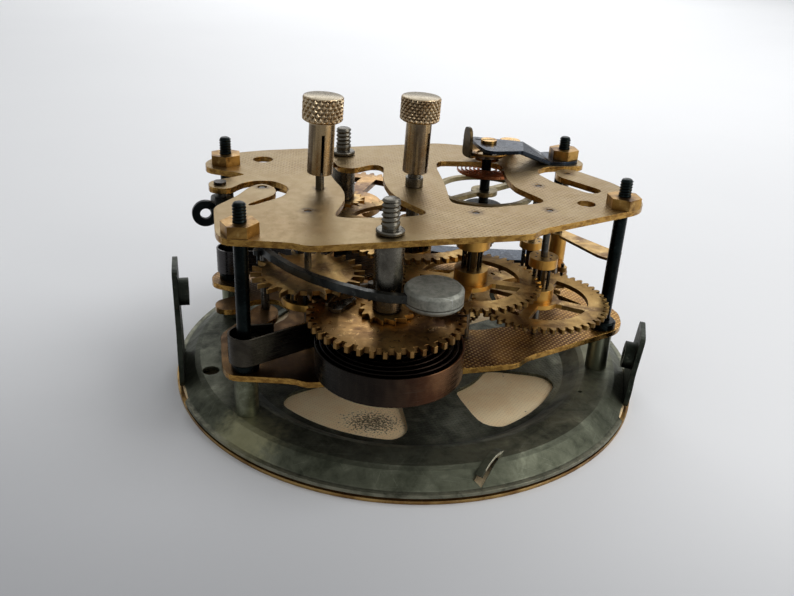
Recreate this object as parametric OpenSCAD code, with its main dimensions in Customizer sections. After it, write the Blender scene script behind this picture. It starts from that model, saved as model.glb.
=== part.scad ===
// Wind-up alarm clock movement, lying on its dial side with the two set knobs up.
// Millimetres, +Z up. Origin: on the axis of the hand arbor, in the plane the dial rests on.
// +X runs from the left pillars to the right pillars, +Y away from the front edge.
// Two brass plates on four pillars hold a going train with lantern pinions, a pin
// lever escapement and balance, and a second train that swings the alarm hammer.

/* [Base and dial] */
// Outer diameter of the dished base plate
base_d = 88; // [80:1:96]
// Sheet thickness of the base plate
base_t = 0.6; // [0.4:0.1:1.2]
// Height of the raised ring that carries the posts
ring_h = 2.3; // [1:0.1:4]
// Outer radius of the four windows in the base plate
window_r = 30; // [26:0.2:31]
// Inner radius of the four windows
window_in = 16.5; // [14:0.5:20]
// Height of the left fixing tab
tab_l_h = 21.5; // [12:0.5:26]
// Height of the right fixing tab
tab_r_h = 12.8; // [10:0.2:20]
// Thickness of the metal dial
dial_t = 0.6; // [0.4:0.1:1.2]
// Thickness of the card between dial and base plate
card_t = 0.5; // [0.3:0.1:0.8]

/* [Plates and pillars] */
// Thickness of the front and back movement plates
plate_t = 1.05; // [1:0.05:2]
// Height of the underside of the front plate
front_z = 9.8; // [8:0.1:10]
// Distance between the two plates
plate_gap = 22.7; // [22.6:0.1:23.2]
// Radius of the pillars between the plates
pillar_r = 1.15; // [0.9:0.05:1.5]
// Radius of the threaded stud ends
stud_r = 1.05; // [0.8:0.05:1.1]
// Root radius of the stud thread inside its nut
root_r = 0.86; // [0.7:0.02:0.88]
// How far the studs stand above the back plate
stud_h = 5; // [3:0.1:6]
// Nut width across flats
nut_af = 5.2; // [4.6:0.1:5.6]
// Nut height
nut_h = 1.9; // [1.4:0.1:2.4]
// Radius of the posts under the front plate
post_r = 2; // [1.5:0.1:2.4]

/* [Knobs and winding arbors] */
// Radius of the knurled knob heads
knob_r = 3.5; // [3:0.1:4]
// Height of the knob heads
knob_h = 4.4; // [4:0.1:7]
// Radius of the split knob stems
knob_stem_r = 2.25; // [1.8:0.05:2.4]
// Top of the hand knob above the base rim
knob_top = 50.75; // [48:0.25:56]
// Thread radius of the two winding arbors
wind_r = 1.5; // [1.2:0.05:1.8]
// Top of the front winding arbor above the base rim
wind_top = 40.4; // [39:0.1:44]

/* [Going train] */
// Teeth of the going great wheel
great_n = 64; // [60:1:68]
// Trundles of the centre pinion
centre_pn = 10; // [10:1:10]
// Teeth of the centre wheel
centre_n = 56; // [54:1:58]
// Trundles of the second, third and escape pinions
small_pn = 6; // [6:1:6]
// Teeth of the second wheel
second_n = 48; // [44:1:50]
// Teeth of the third wheel
third_n = 48; // [44:1:50]
// Teeth of the escape wheel
escape_n = 15; // [15:1:15]
// Tip radius of the escape wheel
escape_r = 7.3; // [7:0.1:7.4]
// Outer radius of the balance rim
balance_r = 10; // [7:0.1:10]

/* [Alarm train] */
// Teeth of the alarm great wheel
alarm_n = 40; // [38:1:42]
// Trundles of the alarm escape pinion
alarm_pn = 12; // [12:1:12]
// Teeth of the alarm escape wheel
strike_n = 24; // [24:1:24]
// Tip radius of the alarm escape wheel
strike_r = 9.7; // [9.4:0.1:9.8]
// Radius of the hammer head
hammer_r = 4.8; // [4:0.1:5]
// Thickness of the hammer head
hammer_h = 3.2; // [3:0.1:4.2]

/* [Springs] */
// Thickness of the mainspring strip
spring_t = 0.4; // [0.3:0.02:0.42]
// Width of the mainspring strip
spring_w = 5; // [5:0.1:6]
// Turns of each mainspring
spring_turns = 8; // [6:1:8]

/* [Hidden] */
e = 0.01;

// plan positions
p_bl = [-31.5, 18.7];  p_fl = [-33.4, -17.4];  p_fr = [33.1, -16.7];  p_br = [35.1, 10.3];
pil = [p_bl, p_fl, p_fr, p_br];
c0 = [0, 0];            // centre arbor
wr = [-8, 21.4];        // going winding arbor, rear
wf = [-10.8, -21.6];    // alarm winding arbor, front
c2 = [6.1, -15.2];      // second arbor
c3 = [19.2, -16.3];     // third arbor
ce = [23.1, -3.6];      // escape arbor
cp = [32.1, 2.4];       // pallet arbor
cb = [19.9, 13.6];      // balance staff
ca = [-21.4, -9.6];     // alarm escape arbor
ch = [-26.9, 3.7];      // hammer arbor
cs = [-17.1, 1.2];      // alarm set arbor
cm = [9.02, 3.28];      // minute wheel stud
hh = [-4.5, -26];       // hammer head

base_r = base_d / 2;
f0 = front_z;  f1 = front_z + plate_t;
b0 = f1 + plate_gap;  b1 = b0 + plate_t;
z_dial = -base_t - card_t - dial_t;

function ang(a, b) = atan2(b[1] - a[1], b[0] - a[0]);
function pr(a, b, n, m) = norm(b - a) * n / (n + m);   // pitch radius of the first wheel

// wheel teeth that run on round trundles: each gap is centred on a multiple of the pitch
function flank(r1, r2, o, t) = let (b = t * (1 + r1 / r2), m = t * (1 + r1 / (2 * r2)))
  [(r1 + r2) * cos(t) - r2 * cos(b) - o * sin(m), (r1 + r2) * sin(t) - r2 * sin(b) + o * cos(m)];
function rot2(p, a) = [p[0] * cos(a) - p[1] * sin(a), p[0] * sin(a) + p[1] * cos(a)];
function teeth(n, r1, r2, o, th) = let (p = 360 / n,
    f = [for (k = [0:3]) flank(r1, r2, o, th * k / 3 * r2 / r1)],
    rr = r1 - o - 0.06, ra = asin(o / r1),
    s = concat([[rr * cos(ra), rr * sin(ra)]], f))
  [for (i = [0:n - 1]) each concat([for (q = s) rot2(q, i * p)],
     [for (k = [len(s) - 1:-1:0]) rot2([s[k][0], -s[k][1]], (i + 1) * p)])];
// pointed teeth leaning by l degrees
function saw(n, rt, rr, w, l) = [for (i = [0:n - 1]) each [
   [rr * cos(i * 360 / n - w), rr * sin(i * 360 / n - w)],
   [rt * cos(i * 360 / n + l - 0.8), rt * sin(i * 360 / n + l - 0.8)],
   [rt * cos(i * 360 / n + l + 0.8), rt * sin(i * 360 / n + l + 0.8)],
   [rr * cos(i * 360 / n + w), rr * sin(i * 360 / n + w)]]];

// corners of a closed outline rounded over a length r
function bez(a, b, c, t) = (1 - t) * (1 - t) * a + 2 * t * (1 - t) * b + t * t * c;
function rnd(p, r) = let (n = len(p)) [for (i = [0:n - 1]) each let (
     v = p[i], a = p[(i + n - 1) % n], c = p[(i + 1) % n],
     da = min(r, 0.46 * norm(a - v)), dc = min(r, 0.46 * norm(c - v)),
     s = v + (a - v) * da / norm(a - v), f = v + (c - v) * dc / norm(c - v))
     [for (t = [0:1/3:1.01]) bez(s, v, f, t)]];

// closed strip of thickness t along an open path
function nrm(p, i) = let (n = len(p), d = p[min(i + 1, n - 1)] - p[max(i - 1, 0)]) [-d[1], d[0]] / norm(d);
function strip(p, t) = concat([for (i = [0:len(p) - 1]) p[i] + nrm(p, i) * t / 2],
                              [for (i = [len(p) - 1:-1:0]) p[i] - nrm(p, i) * t / 2]);
// mainspring: coils from the arbor, a straight run, and a loop round a pillar
function spring_path(c, sh, r0, r1, dir, q, rq) = let (c1 = c + sh, d = norm(q - c1),
    al = ang(c1, q) - dir * acos((r1 + rq) / d), n = spring_turns * 36, g = al + 180)
  concat([for (i = [0:n]) let (u = i / n, th = al - dir * 360 * spring_turns * (1 - u))
            c + sh * u + (r0 + (r1 - r0) * u) * [cos(th), sin(th)]],
         [for (k = [0:12]) q + rq * [cos(g - dir * k * 17), sin(g - dir * k * 17)]],
         [let (ge = g - dir * 204) q + rq * [cos(ge), sin(ge)] + 5 * [cos(ge - dir * 90), sin(ge - dir * 90)]]);

// outline of both movement plates, with the bendable pivot fingers at the sides
outline = [[-24.4, -24.4], [11.9, -26.1], [13.9, -24.3], [34.6, -18.9], [37, -17.1], [39, -12.6],
  [38.1, -4.6], [34.6, 4.2], [32.6, 5.2], [30.2, 4], [29.4, 0.8], [33.9, -8], [32.4, -9.6],
  [30.4, -9.4], [28.6, -5.4], [26.9, -2.7], [26.1, 3.2], [27.3, 5.6], [30, 7], [36.8, 6.2],
  [38.6, 7.6], [38.9, 11.4], [37, 14.2], [30, 18.4], [18, 24.4], [13.8, 26.4], [-23.2, 26.2],
  [-29, 25.2], [-34, 21.8], [-35.4, 19.4], [-35.4, 16.2], [-28.4, 11.2], [-35.8, 8.2], [-36, 4.8],
  [-32.6, 3.4], [-30.2, 6.4], [-27.6, 7.4], [-24.2, 6.6], [-22.2, 2.6], [-23.8, -1.6], [-30.2, -5.8],
  [-30.7, -4.8], [-25.3, -0.8], [-24.6, 2.6], [-26.4, 5.7], [-28.8, 4.4], [-31.8, -0.4], [-36.2, -5.2],
  [-37.1, -16.4], [-36.3, -19.4], [-30.6, -21.2], [-26.4, -22.6]];
open_c = [[-11, 16.8], [-11, 13.2], [-8.9, 11.8], [-7.2, 12], [-4.8, 13.4], [-3, 13.2], [-2.4, 11.6],
  [-2.9, 9.8], [-4.1, 6.1], [-4.9, 2.3], [-5.2, -2.8], [-4.6, -6.9], [-2, -13.4], [-3, -14.8],
  [-6.4, -15], [-14.6, -14.2], [-17.3, -13.3], [-17.4, -11.8], [-15.8, -8.8], [-14.2, -5.4],
  [-13.4, -2.3], [-13.2, 1.3], [-13.5, 5.1], [-13.4, 12]];
open_b = [[9.4, 14], [14.9, 12.8], [18.3, 12], [20.6, 10.8], [21.1, 9.2], [20.2, 5.6], [18.8, 1.3],
  [18.3, -4], [20.6, -11.2], [19.6, -12.6], [17.4, -12.9], [8.9, -13.4], [4.6, -10.9], [3.6, -9.4],
  [5.9, -0.3], [7.8, 10.2]];

// wheel levels
z_s = f1 + 1.55;                    // mainsprings
z_gg = 23.4;  t_gg = 1.2;           // going great wheel
z_ag = 19.6;  t_ag = 1.1;           // alarm great wheel
z_c = 25.8;   t_w = 0.8;            // centre wheel
z_2 = 21.6;   z_3 = 17.2;           // second and third wheels
z_e = 14.6;   t_e = 0.7;            // escape wheel
z_aw = 22.9;                        // alarm escape wheel
z_bw = 27.4;                        // balance wheel
z_lb = f1 + 2.1;                    // lower balance bridge

// pitch radii
r_gg = pr(wr, c0, great_n, centre_pn);   q_c = pr(c0, wr, centre_pn, great_n);
r_c = pr(c0, c2, centre_n, small_pn);    q_2 = pr(c2, c0, small_pn, centre_n);
r_2 = pr(c2, c3, second_n, small_pn);    q_3 = pr(c3, c2, small_pn, second_n);
r_3 = pr(c3, ce, third_n, small_pn);     q_e = pr(ce, c3, small_pn, third_n);
r_ag = pr(wf, ca, alarm_n, alarm_pn);    q_a = pr(ca, wf, alarm_pn, alarm_n);
tr_c = 0.36;  tr_s = 0.22;  tr_a = 0.38;  cl = 0.05;

// motion work: 12:36 and 10:40 on one centre distance, and the alarm set gears
m1 = pr(c0, cm, 12, 36);  m2 = pr(cm, c0, 36, 12);
m3 = pr(cm, c0, 10, 40);  m4 = pr(c0, cm, 40, 10);
m5 = pr(cs, c0, 20, 40);  m6 = pr(c0, cs, 40, 20);

brass = [0.72, 0.6, 0.36];  gold = [0.8, 0.62, 0.28];  steel = [0.45, 0.47, 0.48];
dark = [0.16, 0.18, 0.19];  zinc = [0.36, 0.41, 0.38];  blued = [0.2, 0.24, 0.32];

// heights below are counted from the rim's upper face; lift() stands the dial on z = 0
module lift() { translate([0, 0, -z_dial]) children(); }
module at(p, z = 0) { translate([p[0], p[1], z]) children(); }
module cyl(p, z0, z1, r, f = 40) { translate([p[0], p[1], z0]) cylinder(r = r, h = z1 - z0, $fn = f); }
// flat plate from z0 to z1
module slab(z0, z1) { translate([0, 0, z0]) linear_extrude(height = z1 - z0) children(); }
module circ(p, r, f = 40) { translate([p[0], p[1]]) circle(r = r, $fn = f); }
// n trundles of a lantern pinion, one of them facing the driving wheel
module trundles(p, a, n, rc, r, z0, z1) {
  for (i = [0:n - 1]) cyl(p + rc * [cos(a + i * 360 / n), sin(a + i * 360 / n)], z0, z1, r, 16);
}
// spoked web: ring sectors cut from a wheel
module arms(ri, ro, n, w, a) {
  for (i = [0:n - 1]) rotate(a + i * 360 / n) difference() {
    intersection() {
      difference() { circle(r = ro, $fn = 60); circle(r = ri, $fn = 40); }
      polygon([[0, 0], [2 * ro * cos(180 / n), -2 * ro * sin(180 / n)], [2 * ro, 0], [2 * ro * cos(180 / n), 2 * ro * sin(180 / n)]]);
    }
    rotate(180 / n) translate([0, -w / 2]) square([ro * 2, w]);
    rotate(-180 / n) translate([0, -w / 2]) square([ro * 2, w]);
  }
}
// lantern body: two shrouds on a core, bored for the arbor and drilled for the trundles
module lantern(p, a, n, rc, rt, z0, z1, z2, z3, rs, core, bore) {
  difference() {
    union() {
      cyl(p, z0, z1, rs);
      cyl(p, z1 - e, z2 + e, core);
      cyl(p, z2, z3, rs);
    }
    cyl(p, z0 - 1, z3 + 1, bore, 30);
    trundles(p, a, n, rc, rt + 0.01, z1 - 0.7, z3 + 1);
  }
}

module base_plate() color(zinc) lift() {
  difference() {
    union() {
      rotate_extrude($fn = 120) polygon([[3.8, -base_t], [31.4, -base_t], [32.9, ring_h - 1.5 - base_t],
        [35.2, ring_h - base_t], [39.2, ring_h - base_t], [41.4, 0.9 - base_t], [42.8, -base_t], [base_r, -base_t],
        [base_r, 0], [43.1, 0], [41.7, 1.1], [40.6, ring_h - 0.3], [39.6, ring_h], [35, ring_h],
        [34, ring_h - 0.3], [32.6, ring_h - 1.4], [31.2, 0], [3.8, 0]]);
    }
    // four windows
    for (a = [[-159, -105], [-79, -30.5], [22, 70], [110, 158]]) slab(-2, 1) window(a[0], a[1]);
    // relief cuts beside the tabs
    for (a = [176, -31]) rotate(a) for (s = [-1, 1]) translate([42.4, s * 6.7 - 0.5, -2]) cube([4, 1, 5]);
    for (a = [176, -31]) rotate(a) translate([42.5, -6.3, -2]) cube([4, 12.6, 5]);
    // wider cut in front of each tab
    for (a = [[176, 1], [-31, -1]]) rotate(a[0]) slab(-2, 2)
      polygon([for (q = [[42.4, 6.2], [46, 6.2], [46, 13], [43, 12.8], [41.9, 10.3], [42.2, 8]]) [q[0], a[1] * q[1]]]);
    // post rivet holes and small round holes
    for (q = pil) cyl(q, -2, 6, 1.02, 24);
    cyl([-38.05, -2.84], -2, 6, 1.5, 24);  cyl([25.6, -24.5], -2, 6, 0.4, 16);
    // slot under the lanced tongue
    translate([4.5, -37.4, 0]) rotate(tongue_a) translate([1.6, -0.8, -2]) cube([6.2, 1.6, 6]);
  }
  // lanced tongue, arched from the crown of the ring down towards the rim
  translate([4.5, -37.4, 0]) rotate(tongue_a) rotate([90, 0, 0]) translate([0, 0, -0.6]) linear_extrude(height = 1.2)
    polygon([[-0.6, 1.9], [0, 2.3], [1.4, 2.9], [3, 3.2], [4.8, 3.05], [6.4, 2.5], [7.5, 1.8], [7.3, 1.5], [6.2, 2.05], [4.7, 2.55],
      [3, 2.7], [1.5, 2.4], [0.9, 1.9]]);
}
tongue_a = -139.5;
module window(a0, a1) {
  n = 8;
  function pt(r, a) = r * [cos(a), sin(a)];
  polygon(rnd(concat([for (i = [0:n]) pt(window_r, a0 + 5.5 + (a1 - a0 - 11) * i / n)], [pt(window_r - 2.6, a1 - 0.4)],
    [for (i = [4:-1:0]) pt(window_in, a0 + 5 + (a1 - a0 - 10) * i / 4)], [pt(window_r - 2.6, a0 + 0.4)]), 3));
}
module tab(h, lean, k) {
  translate([42.5, 0, -base_t]) rotate([0, lean, 0]) difference() {
    union() {
      rotate([90, 0, 90]) linear_extrude(height = 0.9)
        polygon(rnd([[-6.3, 0.1], [6.3, 0.1], [6.1, h * 0.3], [4.4, h * 0.45], [4.2, h + base_t], [-4.2, h + base_t], [-4.4, h * 0.45], [-6.1, h * 0.3]], 1.4));
      translate([-1.7, 0, h * k]) rotate([0, 90, 0]) cylinder(r = 2.5, h = 1.7 + e, $fn = 28);
    }
    translate([-3, 0, h * k]) rotate([0, 90, 0]) cylinder(r = 0.9, h = 6, $fn = 24);
  }
}
// upright fixing tabs at the rim, each with a riveted threaded boss
module side_tabs() color(zinc) lift() {
  rotate(176) tab(tab_l_h, 0, 0.77);
  rotate(-31) tab(tab_r_h, 5, 0.6);
}
module dial_plate() color(gold) lift() difference() {
  cyl(c0, z_dial, z_dial + dial_t, base_r, 120);
  cyl(c0, z_dial - 1, 1, 3.6);
}
module dial_card() color([0.85, 0.76, 0.6]) lift() difference() {
  cyl(c0, -base_t - card_t, -base_t, 43.2, 120);
  cyl(c0, -3, 1, 3.6);
}
module dial_posts() color(steel) lift() for (q = pil) difference() {
  union() {
    cyl(q, ring_h, f0, post_r, 36);
    cyl(q, ring_h - base_t - 0.5, ring_h + e, 1, 24);
  }
  cyl(q, f0 - 3.2, f0 + 1, stud_r + 0.02, 24);
}
module plate2d(back) {
  difference() {
    polygon(rnd(outline, 1.6));
    polygon(rnd(open_c, 1.4));
    polygon(rnd(open_b, 1.8));
    for (q = pil) circ(q, stud_r + 0.05, 24);
    circ([-24.3, 20], 1.9);
    circ([27.2, -14.4], 1.6);
    for (q = [c2, c3, ce, cp, ca]) circ(q, 0.6, 20);
    circ(ch, 0.85, 24);
  }
}
module front_plate() color(brass) lift() slab(f0, f1) difference() {
  plate2d(false);
  circ(c0, 1.68);
  for (q = [wr, wf]) circ(q, 1.5);
  circ(cs, 0.8, 24);
  circ(cb, 1.2, 24);
  circ(cm, 0.7, 24);
}
module back_plate() color(brass) lift() slab(b0, b1) difference() {
  plate2d(true);
  circ(c0, 1.24, 30);
  for (q = [wr, wf]) circ(q, 1.75);
  circ(cs, 0.8, 24);
  circ(cb, 2.4, 30);
  circ(cb + [6.4, 3.8], 0.61, 24);
  circ([-33.9, 6.5], 0.61, 24);
}
module pillars() color(dark) lift() for (i = [0:3]) {
  q = pil[i];
  nt = b1 + nut_h + (i == 3 ? 0.7 : 0);
  cyl(q, f0 - 3, b0, stud_r, 24);
  cyl(q, b0 - e, nt + e, root_r, 24);
  cyl(q, nt, b1 + stud_h - 0.4, stud_r, 24);
  cyl(q, f1, f1 + 1.5, 2.3, 30);
  cyl(q, f1 + 1.5 - e, b0, pillar_r, 30);
  translate([q[0], q[1], b1 + stud_h - 0.4 - e]) cylinder(r1 = stud_r, r2 = stud_r - 0.35, h = 0.4 + e, $fn = 24);
}
module pillar_nuts() color(gold) lift() for (i = [0:3]) {
  zb = i == 3 ? b1 + 0.7 : b1;
  difference() {
    translate([pil[i][0], pil[i][1], zb]) rotate([24.5, 43.7, 19.4, 20.9][i]) cylinder(r = nut_af / 2 / cos(30), h = nut_h, $fn = 6);
    cyl(pil[i], zb - 1, zb + 4, root_r + 0.02, 24);
  }
}

// upper balance bridge, clamped under the back right nut and cranked up over the balance
module balance_bridge_upper() color(blued) lift() {
  t = 0.7;
  difference() {
    union() {
      slab(b1, b1 + t) polygon(rnd([[30.4, 7.9], [33.4, 7.2], [37, 7.4], [38.2, 10.2], [37, 13.4], [34, 14.9], [31.6, 14.6]], 1.4));
      slab(b1 + 2.8, b1 + 2.8 + t) polygon(rnd([[27.2, 13.2], [24, 15], [20.8, 16.7], [18.4, 18.4], [17.5, 17.2],
        [17, 12], [17.2, 8.3], [18.6, 7.3], [24.4, 6.8]], 0.9));
      // cranked part between the two levels
      hull() {
        slab(b1 + 2.8, b1 + 2.8 + t) polygon([[27.2, 13.2], [24.4, 6.8], [23.8, 7], [26.5, 13.5]]);
        slab(b1, b1 + t) polygon([[31.6, 14.4], [30.5, 8], [31.1, 7.9], [32.2, 14.4]]);
      }
    }
    cyl(p_br, b1 - 1, b1 + 3, stud_r + 0.05, 24);
    cyl(cb, b1, b1 + 5, 1.05, 24);
    hull() { cyl([18.3, 16.2], b1 + 1, b1 + 5, 0.3, 16);  cyl([19, 15.7], b1 + 1, b1 + 5, 0.3, 16); }
  }
}
module balance_bridge_lower() color(blued) lift() {
  t = 0.7;
  difference() {
    union() {
      slab(z_lb, z_lb + t) polygon(rnd([[38, 8.8], [38, 12.4], [34, 13.4], [26, 15.6], [18, 18.4], [12, 20.6], [9.4, 20.8],
        [9, 18.6], [13, 16.2], [18.4, 11.4], [26, 9.8], [33, 7.8]], 1.5));
      slab(f1, z_lb + e) polygon([[9.8, 18.8], [11.8, 17.8], [12.6, 19.4], [10.4, 20.4]]);
      cyl(p_br, f1 + 1.5, z_lb + e, 2.2, 30);
    }
    cyl(p_br, f1, f1 + 6, 1.25, 24);
    cyl(cb, f1, f1 + 6, 1.05, 24);
  }
}
// adjustable pivot screws above and below the balance staff
module balance_screws() color(gold) lift() {
  difference() {
    union() { cyl(cb, b1 + 2, b1 + 3.5 + e, 1.03, 24); cyl(cb, b1 + 3.5, b1 + 4.1, 1.6, 30); }
    translate([cb[0] - 2, cb[1] - 0.2, b1 + 3.8]) cube([4, 0.4, 1]);
    cyl(cb, b1 + 1, b1 + 2.7, 0.3, 16);
  }
  difference() {
    cyl(cb, z_lb - 1.3, z_lb + 1.1, 1.03, 24);
    cyl(cb, z_lb + 0.4, z_lb + 2, 0.3, 16);
  }
}
// dished regulator round the balance screw, with its upright tail
module regulator() color(gold) lift() {
  translate([cb[0], cb[1], 0]) rotate_extrude($fn = 60) polygon([[2.2, b1 + 0.9], [3.2, b1 + 0.9],
    [4.8, b1 + 1.9], [4.8, b1 + 2.2], [4.5, b1 + 2.2], [3.1, b1 + 1.4], [2.2, b1 + 1.4]]);
  slab(b1 + 0.9, b1 + 1.4) polygon([[17.2, 15], [15.1, 15], [15.4, 11.8], [17.3, 12.2]]);
  translate([15.35, 13.4, b1 + 0.9]) rotate(-85) rotate([90, 0, 0]) translate([0, 0, -0.3]) linear_extrude(height = 0.6)
    polygon(rnd([[-1.7, 0], [1.7, 0], [1.45, 4.6], [0.9, 5.9], [-0.9, 5.9], [-1.4, 4.6]], 1));
}
module hairspring() color([0.66, 0.36, 0.2]) lift() {
  n = 6 * 36;
  slab(b0 - 1.3, b0 - 0.7) polygon(strip(concat([for (i = [0:n]) let (u = i / n, th = 26 + 2160 * u)
      cb + (1.5 + 4.9 * u) * [cos(th), sin(th)]], [cb + [5.84, 2.98]]), 0.13));
}
// stud through the back plate that holds the outer end of the hairspring
p_st = cb + [6.4, 3.8];
module hairspring_stud() color(gold) lift() {
  cyl(p_st, b0 - 2, b0, 0.9, 24);
  cyl(p_st, b0 - e, b1 + e, 0.6, 24);
  cyl(p_st, b1, b1 + 1.6, 1.2, 24);
  cyl(p_st, b1 + 1.6 - e, b1 + 2.7, 2.1, 36);
}
// lever that holds the hammer back when the alarm is shut off
module alarm_stop_lever() color(dark) lift() {
  difference() {
    union() {
      slab(b0 - 2.2, b0 - 1.4) polygon(rnd([[-36.4, 0.4], [-33.6, -1.6], [-31.6, 0.6], [-31.4, 6.4], [-33.2, 8.6], [-35.4, 8.4]], 1.2));
      // upright lug with an eye
      translate([-37, 2.3, b0 - 2.55]) rotate([90, 0, 0]) cylinder(r = 2.3, h = 0.8, $fn = 40);
    }
    translate([-37, 4, b0 - 2.55]) rotate([90, 0, 0]) cylinder(r = 0.95, h = 5, $fn = 24);
    cyl([-33.9, 6.5], b0 - 4, b0 + 1, 0.63, 20);
  }
}
module stop_lever_rivet() color(steel) lift() {
  cyl([-33.9, 6.5], b0 - 2.5, b1 + 0.2, 0.6, 24);
  cyl([-33.9, 6.5], b0 - 2.9, b0 - 2.23, 1.1, 24);
  cyl([-33.9, 6.5], b0 - 1.37, b0, 1, 24);
  cyl([-33.9, 6.5], b1, b1 + 0.5, 1.1, 24);
}
module minute_stud() color(steel) lift() {
  cyl(cm, 4.4, f1, 0.68, 24);
}

module mainspring(c, sh, dir, q) {
  slab(z_s, z_s + spring_w) polygon(strip(spring_path(c, sh, 3.9, 12.4, dir, q, 2.5), spring_t));
}
module going_mainspring() color([0.3, 0.29, 0.3]) lift() mainspring(wr, [-0.8, 1.6], -1, p_bl);
module alarm_mainspring() color([0.36, 0.27, 0.24]) lift() mainspring(wf, [-0.5, -3.4], 1, p_fl);

module great(p, n, r1, r2, tr, z0, t, a, th) {
  slab(z0, z0 + t) difference() {
    at(p) rotate(a) polygon(teeth(n, r1, r2, tr + cl, th));
    circ(p, 2.03);
  }
}
module going_great_wheel() color(gold) lift() difference() {
  great(wr, great_n, r_gg, q_c, tr_c, z_gg, t_gg, ang(wr, c0), 48);
  at(wr, z_gg - 1) linear_extrude(height = 4) rotate(20) arms(7.9, 16.5, 5, 3.4, 0);
  cyl(click_p(wr, 150), z_gg - 1, z_gg + 3, 0.62, 20);
}
module alarm_great_wheel() color(gold) lift() difference() {
  great(wf, alarm_n, r_ag, q_a, tr_a, z_ag, t_ag, ang(wf, ca), 38);
  cyl(click_p(wf, 160), z_ag - 1, z_ag + 3, 0.62, 20);
}
// winding arbor: pivot, hook hub inside the spring, barrel, flange and thread
module winding(p, zg, t, top) {
  cyl(p, f0 - 0.4, f1 + 0.3, 1.45, 30);
  cyl(p, f1 + 0.3 - e, zg - 0.05, 3.3, 36);
  cyl(p, zg - 0.05 - e, zg + t + 1.1, 2, 36);
  cyl(p, zg + t + 1.1 - e, b0 - 0.1, 2.4, 36);
  cyl(p, b0 - 0.1 - e, b1 + 0.1, 1.7, 36);
  cyl(p, b1 + 0.1 - e, b1 + 0.8, 2.3, 36);
  cyl(p, b1 + 0.8 - e, top - 0.4, wind_r, 36);
  translate([p[0], p[1], top - 0.4 - e]) cylinder(r1 = wind_r, r2 = wind_r - 0.35, h = 0.4 + e, $fn = 36);
}
module going_winding_arbor() color(steel) lift() winding(wr, z_gg, t_gg, wind_top - 0.4);
module alarm_winding_arbor() color(steel) lift() winding(wf, z_ag, t_ag, wind_top);
function click_p(p, a) = p + 8.2 * [cos(a), sin(a)];
module ratchet(p, z, a) {
  slab(z, z + 0.8) difference() {
    at(p) rotate(a) polygon(saw(14, 4.6, 3.7, 10.5, 8));
    circ(p, 2.01);
  }
}
module going_ratchet() color(brass) lift() ratchet(wr, z_gg + t_gg + 0.05, 12);
module alarm_ratchet() color(gold) lift() ratchet(wf, z_ag + t_ag + 0.05, 6);
// click on its rivet; its nose stands just clear of the ratchet tips
module click(p, z, t, a, k) {
  q = click_p(p, a);
  slab(z + 0.05, z + k) {
    polygon(rnd([q + rot2([1.3, 0.6], a), q + rot2([0.4, 1.4], a), q + rot2([-0.9, 1.2], a), q + rot2([-1.5, -0.4], a),
      q + rot2([-3, -3], a), q + rot2([-2.5, -3.7], a), q + rot2([-0.6, -2.4], a), q + rot2([1.2, -0.8], a)], 0.4));
  }
  cyl(q, z - t - 0.3, z + k - 0.05, 0.6, 20);
  cyl(q, z - t - 0.3, z - t - 0.02, 1, 20);
}
module going_click() color(dark) lift() click(wr, z_gg + t_gg, t_gg, 150, 0.85);
module alarm_click() color(dark) lift() click(wf, z_ag + t_ag, t_ag, 160, 0.7);
module click_spring(p, z, a, s) {
  slab(z + 0.05, z + 0.55) polygon(strip([for (i = [0:14]) p + (10.4 - i * 0.03) * [cos(a + s * (70 - i * 4.6)), sin(a + s * (70 - i * 4.6))]], 0.5));
  slab(z, z + 0.7) at(p + 10.4 * [cos(a + s * 72), sin(a + s * 72)]) circle(r = 0.8, $fn = 20);
}
module going_click_spring() color(steel) lift() click_spring(wr, z_gg + t_gg, 150, 1);
module alarm_click_spring() color(steel) lift() click_spring(wf, z_ag + t_ag, 160, -1);

module centre_wheel() color(gold) lift() {
  a = ang(c0, wr);
  difference() {
    union() {
      slab(z_c, z_c + t_w) difference() {
        rotate(ang(c0, c2)) polygon(teeth(centre_n, r_c, q_2, tr_s + cl, 60));
        arms(4.8, 12.6, 4, 2.6, 10);
      }
      lantern(c0, a, centre_pn, q_c, tr_c, z_gg - 1.6, z_gg - 0.5, z_gg + 1.7, z_gg + 2.5, 3.9, 2, 1.23);
      cyl(c0, z_c + t_w - e, z_c + 2.6, 2.4);
    }
    cyl(c0, 15, 32, 1.23, 30);
    trundles(c0, a, centre_pn, q_c, tr_c + 0.01, z_gg - 1.2, z_c + t_w + 1);
  }
}
module centre_trundles() color(steel) lift() trundles(c0, ang(c0, wr), centre_pn, q_c, tr_c, z_gg - 1.19, z_c + t_w);

module small_wheel(p, a, n, r1, r2, z, ri, ro, th) {
  slab(z, z + t_w) difference() {
    at(p) rotate(a) polygon(teeth(n, r1, r2, tr_s + cl, th));
    at(p) arms(ri, ro, 4, 1.9, a + 20);
    circ(p, 0.62, 20);
  }
}
module second_wheel() color(gold) lift() {
  small_wheel(c2, ang(c2, c3), second_n, r_2, q_3, z_2, 4, 8.8, 62);
  lantern(c2, ang(c2, c0), small_pn, q_2, tr_s, z_2 + t_w - e, z_2 + 3, 28.6, 30.4, 2.9, 0.84, 0.62);
}
module second_trundles() color(steel) lift() trundles(c2, ang(c2, c0), small_pn, q_2, tr_s, z_2 + 2.31, 30.4);
module arbor(p, r, z0 = f1 + 0.1, z1 = b0 - 0.1, pv = 0.55) {
  cyl(p, z0, z1, r, 24);
  cyl(p, f0 + 0.2, z0 + e, pv, 20);
  cyl(p, z1 - e, b1 - 0.1, pv, 20);
}
module second_arbor() color(steel) lift() arbor(c2, 0.61);
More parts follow.
